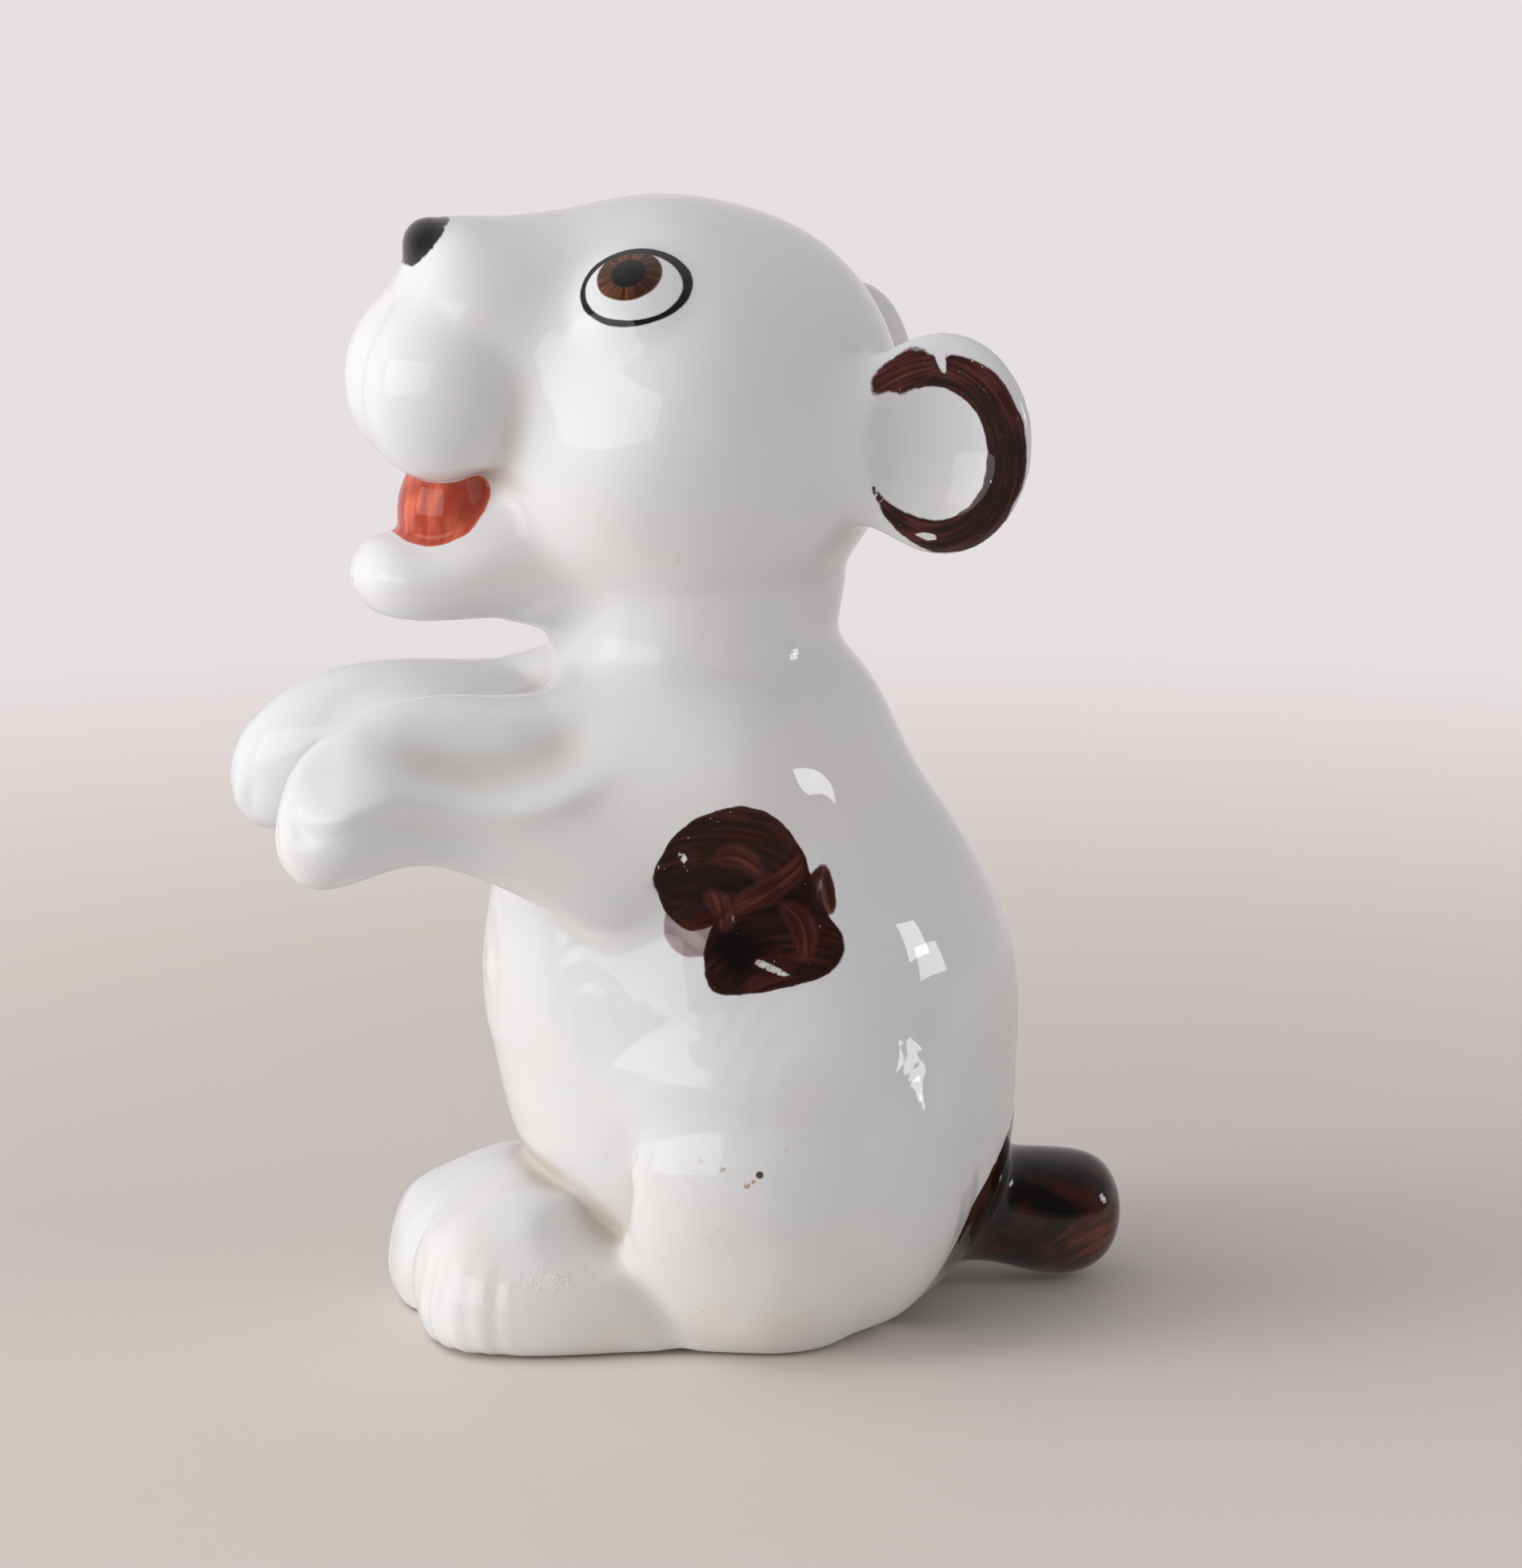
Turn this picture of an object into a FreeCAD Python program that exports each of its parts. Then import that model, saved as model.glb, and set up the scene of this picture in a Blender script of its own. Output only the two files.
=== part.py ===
"""A hollow slip-cast porcelain puppy that sits up and begs, as the parts it is stuck together from.

Millimetres. +Z is up, the puppy faces -Y and its left side is +X. The origin is on the surface it
stands on, under the middle of the belly. Head parts are drawn level, round the middle of the skull,
and then tilted back and lifted onto the neck together.
"""

import FreeCAD
import Part

import math
import os
from collections import namedtuple

OUT = "parts"
SHEET = "Sizes"

# Every size is a half width, a half depth or a half height where its name ends in wide, deep or tall,
# and a place on the axis where it ends in up, along or aside.
SIZES = {
    "wall": (3.0, "cast wall of the hollow torso and head"),
    # torso, from the seat to the neck
    "seat_wide": (9.5, "flat seat, half width"),
    "seat_deep": (10.0, "flat seat, half depth"),
    "seat_along": (1.0, "middle of the seat"),
    "rump_up": (3.2, "height of the rump ring"),
    "rump_wide": (14.0, "rump, half width"),
    "rump_deep": (14.6, "rump, half depth"),
    "rump_along": (1.0, "middle of the rump"),
    "hip_up": (9.5, "height of the hip ring"),
    "hip_wide": (17.0, "hip, half width"),
    "hip_deep": (18.0, "hip, half depth"),
    "hip_along": (1.0, "middle of the hip"),
    "belly_up": (20.0, "height of the fullest ring"),
    "belly_wide": (18.8, "belly, half width"),
    "belly_deep": (20.1, "belly, half depth"),
    "belly_along": (0.0, "middle of the belly"),
    "waist_up": (31.0, "height of the waist ring"),
    "waist_wide": (17.4, "waist, half width"),
    "waist_deep": (19.8, "waist, half depth"),
    "waist_along": (-0.9, "middle of the waist"),
    "chest_up": (41.0, "height of the chest ring"),
    "chest_wide": (14.6, "chest, half width"),
    "chest_deep": (15.6, "chest, half depth"),
    "chest_along": (-2.9, "middle of the chest"),
    "shoulder_up": (47.5, "height of the shoulder ring"),
    "shoulder_wide": (12.4, "shoulder, half width"),
    "shoulder_deep": (12.9, "shoulder, half depth"),
    "shoulder_along": (-3.7, "middle of the shoulder"),
    "neck_up": (53.5, "height of the narrowest neck ring"),
    "neck_wide": (10.4, "neck, half width"),
    "neck_deep": (10.6, "neck, half depth"),
    "neck_along": (-4.8, "middle of the neck"),
    "bib_wide": (6.0, "web between the forelegs, half width"),
    "bib_long": (13.5, "web between the forelegs, half length"),
    "bib_tall": (4.8, "web between the forelegs, half height"),
    "bib_along": (-16.5, "middle of the web between the forelegs"),
    "bib_up": (43.8, "height of the web between the forelegs"),
    "lap_wide": (4.5, "web between the feet, half width"),
    "lap_long": (11.5, "web between the feet, half length"),
    "lap_tall": (5.7, "web between the feet, half height"),
    "lap_along": (-13.5, "middle of the web between the feet"),
    "lap_up": (6.3, "height of the web between the feet"),
    "vent_radius": (1.8, "vent hole under the seat"),
    "vent_along": (6.0, "middle of the vent hole"),
    # head, level and round the middle of the skull
    "head_rise": (16.2, "middle of the skull above the neck ring"),
    "head_tilt": (24.0, "angle that the head is tilted back"),
    "skull_wide": (16.4, "skull, half width"),
    "skull_tall": (16.4, "skull, half height"),
    "skull_back": (15.6, "skull's reach behind its middle"),
    "cheek_along": (-9.5, "place of the cheek ring"),
    "cheek_up": (0.4, "middle of the cheek ring above the skull's"),
    "cheek_wide": (14.2, "cheek, half width"),
    "cheek_tall": (14.0, "cheek, half height"),
    "stop_along": (-15.0, "place of the ring at the stop"),
    "stop_wide": (9.6, "stop, half width"),
    "stop_tall": (10.0, "stop, half height"),
    "muzzle_along": (-20.5, "place of the muzzle ring"),
    "muzzle_wide": (8.4, "muzzle, half width"),
    "muzzle_tall": (7.0, "muzzle, half height"),
    "muzzle_up": (1.2, "middle of the muzzle above the skull's"),
    "muzzle_dome": (5.0, "rounding of the muzzle's end"),
    "flew_long": (6.6, "flew, half length"),
    "flew_wide": (5.9, "flew, half width"),
    "flew_tall": (7.9, "flew, half height"),
    "flew_aside": (3.2, "middle of a flew from the middle line"),
    "flew_along": (-19.4, "place of the flews"),
    "flew_drop": (5.4, "middle of a flew below the muzzle's"),
    "throat_wide": (11.4, "throat above the neck, half width"),
    "throat_deep": (11.2, "throat above the neck, half depth"),
    "throat_rise": (4.5, "throat ring above the neck ring"),
    "neck_vent": (5.0, "radius of the hole between head and torso"),
    # nose, eyes
    "nose_wide": (3.9, "nose, half width"),
    "nose_tall": (2.7, "nose, half height"),
    "nose_deep": (3.4, "nose, half depth"),
    "nose_ahead": (2.5, "middle of the nose ahead of the muzzle ring"),
    "nose_up": (2.7, "middle of the nose above the muzzle's"),
    "eye_radius": (5.0, "radius of an eyeball"),
    "eye_bulge": (1.5, "how far an eyeball stands out of the skull"),
    "eye_yaw": (43.0, "angle of an eye away from straight ahead"),
    "eye_tilt": (24.0, "angle of an eye above the level of the head"),
    # lower jaw and tongue
    "jaw_tilt": (22.0, "angle that the jaw drops open"),
    "jaw_along": (-3.0, "place of the jaw's hinge end"),
    "jaw_drop": (14.0, "jaw's hinge end below the skull's middle"),
    "jaw_wide": (8.0, "jaw at the hinge, half width"),
    "jaw_tall": (8.5, "jaw at the hinge, half height"),
    "jaw_lift": (5.0, "middle of the hinge end above the chin's"),
    "chin_reach": (13.5, "hinge end to the chin ring"),
    "chin_wide": (5.6, "chin, half width"),
    "chin_tall": (3.4, "chin, half height"),
    "chin_dome": (4.6, "rounding of the chin"),
    "tongue_reach": (10.8, "hinge end to the middle of the tongue"),
    "tongue_up": (4.8, "middle of the tongue above the jaw's"),
    "tongue_wide": (4.4, "tongue, half width"),
    "tongue_long": (3.9, "tongue, half length"),
    "tongue_tall": (5.0, "tongue, half height"),
    # ears
    "ear_inset": (5.1, "root of an ear in from the skull's side"),
    "ear_ahead": (8.8, "root of an ear ahead of the skull's back"),
    "ear_up": (2.6, "root of an ear above the skull's middle"),
    "ear_yaw": (20.0, "angle that an ear spreads away from straight back"),
    "ear_root": (5.4, "half breadth of an ear at its root"),
    "ear_reach": (9.2, "root to the broadest part of an ear"),
    "ear_broad": (8.6, "half breadth of an ear at its broadest"),
    "ear_thick": (2.1, "ear, half thickness"),
    "ear_dome": (6.4, "rounding of an ear's tip"),
    "cup_deep": (1.5, "depth of the hollow in an ear"),
    "cup_long": (5.0, "hollow in an ear, half length"),
    "cup_along": (8.2, "root of an ear to the middle of its hollow"),
    "cup_rim": (2.4, "breadth of the rim round the hollow"),
    # forelegs
    "upper_along": (-5.0, "place of the upper foreleg's ring"),
    "upper_aside": (9.6, "upper foreleg from the middle line"),
    "upper_wide": (5.6, "upper foreleg, half width"),
    "upper_tall": (8.2, "upper foreleg, half height"),
    "upper_dome": (6.0, "rounding of the upper foreleg's back"),
    "elbow_along": (-15.0, "place of the elbow ring"),
    "elbow_aside": (10.0, "elbow from the middle line"),
    "elbow_up": (41.4, "height of the elbow"),
    "elbow_wide": (4.4, "elbow, half width"),
    "elbow_tall": (8.6, "elbow, half height"),
    "wrist_reach": (11.5, "elbow to wrist"),
    "wrist_rise": (3.0, "wrist above the elbow"),
    "wrist_wide": (3.6, "wrist, half width"),
    "wrist_tall": (6.2, "wrist, half height"),
    "paw_reach": (6.4, "wrist to the fullest part of the paw"),
    "paw_drop": (1.1, "paw below the wrist"),
    "paw_wide": (4.6, "forepaw, half width"),
    "paw_tall": (5.7, "forepaw, half height"),
    "paw_dome": (6.1, "rounding of the forepaw's end"),
    "paw_droop": (2.5, "drop of the forepaw's tip"),
    "foreleg_roll": (22.0, "angle that a foreleg leans in at the top"),
    "paw_aside": (10.4, "paw from the middle line"),
    # hind legs
    "haunch_aside": (13.2, "middle of the thigh from the middle line"),
    "haunch_along": (-1.6, "middle of the thigh"),
    "haunch_up": (12.8, "height of the thigh's middle"),
    "haunch_wide": (8.2, "thigh, half width"),
    "haunch_deep": (12.2, "thigh, half depth"),
    "haunch_tall": (13.4, "thigh, half height"),
    "heel_aside": (9.6, "heel from the middle line"),
    "toe_aside": (6.9, "toes from the middle line"),
    "heel_along": (-2.0, "place of the heel ring"),
    "heel_wide": (6.0, "heel, half width"),
    "heel_top": (8.0, "height of the heel"),
    "heel_dome": (3.0, "rounding of the heel"),
    "sole_along": (-9.0, "place of the ring in the middle of the foot"),
    "sole_wide": (6.1, "middle of the foot, half width"),
    "sole_top": (11.2, "height of the middle of the foot"),
    "instep_along": (-15.5, "place of the instep ring"),
    "instep_wide": (6.2, "instep, half width"),
    "instep_top": (12.0, "height of the instep"),
    "toe_along": (-22.5, "place of the toe ring"),
    "toe_wide": (6.2, "toes, half width"),
    "toe_top": (10.3, "height of the toes"),
    "toe_dome": (5.5, "rounding of the toes"),
    # toe grooves
    "groove_deep": (1.0, "depth of the groove between two toes"),
    "groove_pitch": (2.6, "groove to groove"),
    "groove_round": (6.0, "radius of the lens that cuts a groove"),
    "groove_wide": (0.8, "lens that cuts a groove, half thickness"),
    # tail
    "tail_root_along": (12.0, "place of the tail's root ring"),
    "tail_root_up": (7.4, "height of the tail's root"),
    "tail_root_tall": (4.4, "tail at its root, half height"),
    "tail_reach": (13.4, "root ring to the last full ring"),
    "tail_wide": (4.5, "tail, half width"),
    "tail_tall": (5.1, "tail, half height"),
    "tail_up": (5.4, "height of the tail's middle at its end"),
    "tail_dome": (4.2, "rounding of the tail's end"),
}

PIECES = (
    "torso",
    "head",
    "lower_jaw",
    "tongue",
    "nose",
    "left_eye",
    "right_eye",
    "left_ear",
    "right_ear",
    "left_foreleg",
    "right_foreleg",
    "left_hind_leg",
    "right_hind_leg",
    "tail",
)

Ring = namedtuple("Ring", "x y z wide tall")  # a section of a loft, each value an expression
X_AXIS = FreeCAD.Vector(1, 0, 0)
Y_AXIS = FreeCAD.Vector(0, 1, 0)
Z_AXIS = FreeCAD.Vector(0, 0, 1)
RING_POINTS = 12
DOME_STEPS = (30, 58, 80)  # degrees round a quarter circle, for a loft's rounded end
BLOCK = 120.0  # side of the blocks that trim the feet and the neck flat
SOLE_SHARE = 0.3  # the middle of a foot's ring, as a share of the foot's height above the ground

doc = FreeCAD.newDocument("begging_puppy")


def make_sheet():
    """The spreadsheet that holds every driving size, with its alias and its meaning."""
    sheet = doc.addObject("Spreadsheet::Sheet", SHEET)
    for row, (alias, (value, meaning)) in enumerate(SIZES.items(), start=1):
        sheet.set(f"A{row}", alias)
        sheet.set(f"B{row}", str(value))
        sheet.setAlias(f"B{row}", alias)
        sheet.set(f"C{row}", meaning)
    doc.recompute()


def make_unit_ring():
    """A smooth round curve of radius 1. As one curve with no corners in its curvature, unlike a circle's
    rational arcs, it keeps the lofts' faces in one piece."""
    turns = [math.tau * i / RING_POINTS for i in range(RING_POINTS)]
    curve = Part.BSplineCurve()
    curve.interpolate([FreeCAD.Vector(math.cos(a), math.sin(a), 0) for a in turns], PeriodicFlag=True)
    doc.addObject("Part::Feature", "unit_ring").Shape = curve.toShape()


def size(alias):
    """The expression for one cell."""
    assert alias in SIZES, alias
    return f"{SHEET}.{alias}"


def add(kind, name, **values):
    """A document object, with each value set, or bound where it is an expression."""
    made = doc.addObject(kind, name)
    for key, value in values.items():
        if isinstance(value, str):
            made.setExpression(key, value)
        else:
            setattr(made, key, value)
    return made


def place(thing, x="0", y="0", z="0", axis=X_AXIS, angle="0"):
    """Binds a thing's place, and its turn by angle about axis."""
    thing.Placement = FreeCAD.Placement(FreeCAD.Vector(), FreeCAD.Rotation(axis, 1))
    for key, rule in (("x", x), ("y", y), ("z", z)):
        thing.setExpression(f"Placement.Base.{key}", rule)
    thing.setExpression("Placement.Rotation.Angle", angle)
    return thing


def make_section(name, ring, axis):
    """An oval of the ring's size, stretched from the shared unit ring and square to the axis."""
    oval = add("Part::Scale", name, Base=doc.unit_ring, Uniform=False, XScale=ring.wide, YScale=ring.tall)
    return place(oval, ring.x, ring.y, ring.z, angle="90" if axis == "y" else "0")


def make_loft(name, rings, axis="y"):
    """A smooth solid through rings that follow one another along an axis."""
    sections = [make_section(f"{name}_ring_{i}", ring, axis) for i, ring in enumerate(rings, start=1)]
    return add("Part::Loft", name, Sections=sections, Solid=True, Ruled=False, MaxDegree=3)


def dome(ring, length, towards, axis="y", droop="0"):
    """The rings that round off a loft past a ring, over a length, towards +1 or -1 on the axis."""
    rings = []
    for step in DOME_STEPS:
        out = math.sin(math.radians(step))
        share = math.cos(math.radians(step))
        ends = {"z": f"{ring.z} - {droop} * {out:.4f}"}
        ends[axis] = f"{getattr(ring, axis)} + {length} * {out * towards:.4f}"
        ends["wide"] = f"({ring.wide}) * {share:.4f}"
        ends["tall"] = f"({ring.tall}) * {share:.4f}"
        rings.append(ring._replace(**ends))
    return rings


def between(first, last, count):
    """Rings spaced evenly between two others, which keep a long stretch of a loft from bulging."""
    rings = []
    for i in range(1, count + 1):
        share = i / (count + 1)
        values = (f"({a}) * {1 - share:.4f} + ({b}) * {share:.4f}" for a, b in zip(first, last))
        rings.append(Ring(*values))
    return rings


def shrink(ring, wall):
    """The same ring, smaller by the wall."""
    return ring._replace(wide=f"{ring.wide} - {wall}", tall=f"{ring.tall} - {wall}")


def ball(name, wide, deep, tall, **spot):
    """An ellipsoid by its half width, half depth and half height."""
    made = add("Part::Ellipsoid", name, Radius1=tall, Radius2=wide, Radius3=deep)
    return place(made, **spot)


def cut(name, base, *tools):
    """Base without each tool in turn."""
    for i, tool in enumerate(tools, start=1):
        label = name if i == len(tools) else f"{name}_cut_{i}"
        base = add("Part::Cut", label, Base=base, Tool=tool)
    return base


def fuse(name, *shapes):
    return add("Part::MultiFuse", name, Shapes=list(shapes))


def mirrored(name, source):
    """The right-hand twin of a left-hand piece."""
    return add("Part::Mirroring", name, Source=source, Normal=X_AXIS)


def on_head(thing):
    """Tilts a piece that is drawn level, and lifts it onto the neck."""
    return place(
        thing,
        y=size("neck_along"),
        z=f"{size('neck_up')} + {size('head_rise')}",
        angle=f"-{size('head_tilt')}",
    )


def copy_of(name, thing):
    """A second copy of a form, with a place of its own."""
    return add("Part::Compound", name, Links=[thing])


# ---- torso ---------------------------------------------------------------------------------------


def make_torso_form():
    """The torso's outside: level rings from the flat seat up to the neck, which is cut flat, with the
    webs of clay that join the forelegs to each other and the feet to each other."""
    seat = Ring("0", size("seat_along"), "0", size("seat_wide"), size("seat_deep"))
    neck = Ring("0", size("neck_along"), size("neck_up"), size("neck_wide"), size("neck_deep"))
    trunk = make_loft("trunk_form", [seat, *trunk_rings(), neck], "z")
    webs = []
    for part in ("bib", "lap"):
        wide, long, tall = (size(f"{part}_{word}") for word in ("wide", "long", "tall"))
        webs.append(ball(f"{part}_form", wide, long, tall, y=size(f"{part}_along"), z=size(f"{part}_up")))
    return fuse("torso_form", trunk, *webs)


def trunk_rings():
    """The rings between the seat and the neck."""
    rings = []
    for part in ("rump", "hip", "belly", "waist", "chest", "shoulder"):
        along, up, wide, deep = (size(f"{part}_{word}") for word in ("along", "up", "wide", "deep"))
        rings.append(Ring("0", along, up, wide, deep))
    return rings


def make_torso(torso_form):
    """The hollow torso, with its vent under the seat and its hole up into the head."""
    wall = size("wall")
    inside = [shrink(ring, wall) for ring in trunk_rings()]
    inside[0] = inside[0]._replace(z=wall)
    inside[-1] = inside[-1]._replace(z=f"{inside[-1].z} - {wall} * 0.5")
    hollow = make_loft("torso_hollow", inside, "z")
    vent = add("Part::Cylinder", "vent_hole", Radius=size("vent_radius"), Height=f"{wall} * 2")
    place(vent, y=size("vent_along"), z=f"-{wall} * 0.5")
    neck_hole = add("Part::Cylinder", "torso_neck_hole", Radius=size("neck_vent"), Height=size("belly_up"))
    place(neck_hole, y=size("neck_along"), z=f"{size('shoulder_up')} - {wall} * 2")
    return cut("torso", torso_form, hollow, vent, neck_hole)


# ---- head ----------------------------------------------------------------------------------------


def skull_rings():
    skull = Ring("0", "0", "0", size("skull_wide"), size("skull_tall"))
    cheek = Ring("0", size("cheek_along"), size("cheek_up"), size("cheek_wide"), size("cheek_tall"))
    stop = Ring("0", size("stop_along"), size("muzzle_up"), size("stop_wide"), size("stop_tall"))
    muzzle = Ring("0", size("muzzle_along"), size("muzzle_up"), size("muzzle_wide"), size("muzzle_tall"))
    return skull, cheek, stop, muzzle


def make_throat_form():
    """The throat under the skull, upright when the head is tilted, down to below the neck."""
    rise = size("throat_rise")
    neck = Ring("0", "0", f"-{size('head_rise')}", size("neck_wide"), size("neck_deep"))
    below = neck._replace(z=f"{neck.z} - {rise}")
    throat = Ring("0", "0", f"{neck.z} + {rise}", size("throat_wide"), size("throat_deep"))
    top = throat._replace(z=f"{neck.z} + {rise} * 2")
    loft = make_loft("throat_form", [below, neck, throat, top], "z")
    return place(loft, angle=size("head_tilt"))


def make_head_form():
    """The head's outside: skull, cheeks and muzzle in one loft, a flew on each side, and the throat."""
    skull, cheek, stop, muzzle = skull_rings()
    back = dome(skull, size("skull_back"), 1)
    rings = back[::-1] + [skull, cheek, stop, muzzle] + dome(muzzle, size("muzzle_dome"), -1)
    shapes = [make_loft("face_form", rings), make_throat_form()]
    for side, name in ((1, "left_flew_form"), (-1, "right_flew_form")):
        flew = ball(
            name,
            size("flew_wide"),
            size("flew_long"),
            size("flew_tall"),
            x=f"{size('flew_aside')} * {side}",
            y=size("flew_along"),
            z=f"{size('muzzle_up')} - {size('flew_drop')}",
        )
        shapes.append(flew)
    below_neck = add("Part::Box", "below_neck", Length=BLOCK, Width=BLOCK, Height=BLOCK)
    turn = size("head_tilt")
    middle = f"({size('head_rise')} + {BLOCK})"
    place(
        below_neck,
        x=f"{-BLOCK / 2}",
        y=f"{middle} * sin({turn}) - {BLOCK / 2} * cos({turn})",
        z=f"-{middle} * cos({turn}) - {BLOCK / 2} * sin({turn})",
        angle=turn,
    )
    return cut("head_form", fuse("whole_head_form", *shapes), below_neck)


def make_head(head_form):
    """The hollow head: its form, less the space inside and the hole that opens to the neck."""
    skull, cheek, _, _ = skull_rings()
    wall = size("wall")
    inner_skull = shrink(skull, wall)
    inner_cheek = shrink(cheek, wall)
    back = dome(inner_skull, f"({size('skull_back')} - {wall})", 1)
    front = dome(inner_cheek, wall, -1)
    hollow = make_loft("head_hollow", back[::-1] + [inner_skull, inner_cheek] + front)
    turn = size("head_tilt")
    reach = f"{size('head_rise')} * 2"
    hole = add("Part::Cylinder", "head_neck_hole", Radius=size("neck_vent"), Height=reach)
    place(hole, y=f"{reach} * sin({turn})", z=f"-{reach} * cos({turn})", angle=turn)
    return on_head(cut("head", head_form, hollow, hole))


def make_nose(head_form):
    """The button of a nose, stuck to the top of the muzzle's end."""
    button = ball(
        "nose_form",
        size("nose_wide"),
        size("nose_deep"),
        size("nose_tall"),
        y=f"{size('muzzle_along')} - {size('nose_ahead')}",
        z=f"{size('muzzle_up')} + {size('nose_up')}",
        angle="-25",
    )
    return on_head(cut("nose", button, head_form))


def make_eye(head_form):
    """The left eyeball, a low dome stuck to the front of the skull."""
    eyeball = add("Part::Sphere", "eyeball", Radius=size("eye_radius"))
    surface = f"sqrt(pow({size('cheek_along')}; 2) + pow({size('cheek_wide')}; 2))"
    reach = f"({surface} + {size('eye_bulge')} - {size('eye_radius')})"
    level = f"{reach} * cos({size('eye_tilt')})"
    place(
        eyeball,
        x=f"{level} * sin({size('eye_yaw')})",
        y=f"-{level} * cos({size('eye_yaw')})",
        z=f"{reach} * sin({size('eye_tilt')})",
    )
    return on_head(cut("left_eye", eyeball, head_form))


def make_jaw_form():
    """The lower jaw's outside: deep at the hinge end, and a rounded chin."""
    hinge = Ring("0", "0", size("jaw_lift"), size("jaw_wide"), size("jaw_tall"))
    chin = Ring("0", f"-{size('chin_reach')}", "0", size("chin_wide"), size("chin_tall"))
    rings = [hinge, *between(hinge, chin, 2), chin] + dome(chin, size("chin_dome"), -1)
    jaw = make_loft("jaw_form", rings)
    return place(jaw, y=size("jaw_along"), z=f"-{size('jaw_drop')}", angle=size("jaw_tilt"))


def make_tongue(head_form, jaw_form):
    """The tongue, which fills the open mouth between the jaw and the flews."""
    turn = size("jaw_tilt")
    reach = size("tongue_reach")
    lift = size("tongue_up")
    tongue = ball(
        "tongue_form",
        size("tongue_wide"),
        size("tongue_long"),
        size("tongue_tall"),
        y=f"{size('jaw_along')} - {reach} * cos({turn}) - {lift} * sin({turn})",
        z=f"-{size('jaw_drop')} - {reach} * sin({turn}) + {lift} * cos({turn})",
        angle=turn,
    )
    return on_head(cut("tongue", tongue, head_form, jaw_form))


def make_ear(head_form):
    """The left ear: a rounded flap with a hollow in its outer face, standing out behind the skull."""
    root = Ring("0", "0", "0", f"{size('ear_thick')} * 1.2", size("ear_root"))
    broad = Ring("0", size("ear_reach"), "0", size("ear_thick"), size("ear_broad"))
    rings = [root, *between(root, broad, 1), broad] + dome(broad, size("ear_dome"), 1)
    flap = make_loft("ear_flap", rings)
    cup = ball(
        "ear_cup",
        size("cup_deep"),
        size("cup_long"),
        f"{size('ear_broad')} - {size('cup_rim')}",
        x=size("ear_thick"),
        y=size("cup_along"),
    )
    ear = cut("ear_form", flap, cup)
    place(ear, axis=Z_AXIS, angle=f"-{size('ear_yaw')}")
    spot = copy_of("ear_on_skull", ear)
    place(
        spot,
        x=f"{size('skull_wide')} - {size('ear_inset')}",
        y=f"{size('skull_back')} - {size('ear_ahead')}",
        z=size("ear_up"),
        angle=size("head_tilt"),
    )
    return on_head(cut("left_ear", spot, head_form))


# ---- legs and tail -------------------------------------------------------------------------------


def groove_cutters(name, paw, length, tilt, droop="0"):
    """The three cutters that part four toes: thin upright lenses, each with its rim sunk in a paw's
    rounded end, over a length ahead of its ring. They meet the end tilt degrees above straight ahead."""
    out = math.cos(math.radians(tilt))
    rise = math.sin(math.radians(tilt))
    ahead = f"{size('groove_round')} - {size('groove_deep')}"
    cutters = []
    for i, steps in enumerate((-1, 0, 1), start=1):
        shift = f"{size('groove_pitch')} * {steps}"
        shrunk = f"sqrt(1 - pow({shift} / ({paw.wide}); 2))"
        lens = ball(
            f"{name}_{i}",
            size("groove_wide"),
            size("groove_round"),
            size("groove_round"),
            x=f"{paw.x} + {shift}",
            y=f"{paw.y} - ({length} * {shrunk} + {ahead}) * {out:.4f}",
            z=f"{paw.z} - {droop} + ({paw.tall} * {shrunk} + {ahead}) * {rise:.4f}",
        )
        cutters.append(lens)
    return cutters


def make_foreleg(torso_form):
    """The left foreleg: held out level, with a bent elbow and a drooping paw of four toes. It is drawn
    upright, and then rolled about the elbow so that its top leans in."""
    elbow_up = size("elbow_up")
    upper = Ring(size("upper_aside"), size("upper_along"), elbow_up, size("upper_wide"), size("upper_tall"))
    elbow = Ring(size("elbow_aside"), size("elbow_along"), elbow_up, size("elbow_wide"), size("elbow_tall"))
    wrist = Ring(
        f"({size('elbow_aside')} + {size('paw_aside')}) / 2",
        f"{elbow.y} - {size('wrist_reach')}",
        f"{elbow_up} + {size('wrist_rise')}",
        size("wrist_wide"),
        size("wrist_tall"),
    )
    paw = Ring(
        size("paw_aside"),
        f"{wrist.y} - {size('paw_reach')}",
        f"{wrist.z} - {size('paw_drop')}",
        size("paw_wide"),
        size("paw_tall"),
    )
    back = dome(upper, size("upper_dome"), 1)
    tip = dome(paw, size("paw_dome"), -1, droop=size("paw_droop"))
    length = [upper, *between(upper, elbow, 1), elbow, *between(elbow, wrist, 1), wrist, paw]
    leg = make_loft("foreleg_form", back[::-1] + length + tip)
    grooves = groove_cutters("forepaw_groove", paw, size("paw_dome"), 0, droop=size("paw_droop"))
    upright = cut("foreleg_upright", leg, *grooves)
    turn = size("foreleg_roll")
    aside = size("elbow_aside")
    place(
        upright,
        x=f"{aside} * (1 - cos({turn})) + {elbow_up} * sin({turn})",
        z=f"{elbow_up} * (1 - cos({turn})) - {aside} * sin({turn})",
        axis=Y_AXIS,
        angle=f"-{turn}",
    )
    return cut("left_foreleg", upright, torso_form)


def sole_ring(part):
    """A ring of the foot, from its height above the ground. Its lower end is under the ground. The feet
    turn in towards the toes."""
    along = size(f"{part}_along")
    share = f"({along} - {size('heel_along')}) / ({size('toe_along')} - {size('heel_along')})"
    aside = f"{size('heel_aside')} + ({size('toe_aside')} - {size('heel_aside')}) * {share}"
    top = size(f"{part}_top")
    middle = f"{top} * {SOLE_SHARE}"
    tall = f"{top} * {1 - SOLE_SHARE}"
    return Ring(aside, along, middle, size(f"{part}_wide"), tall)


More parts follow.
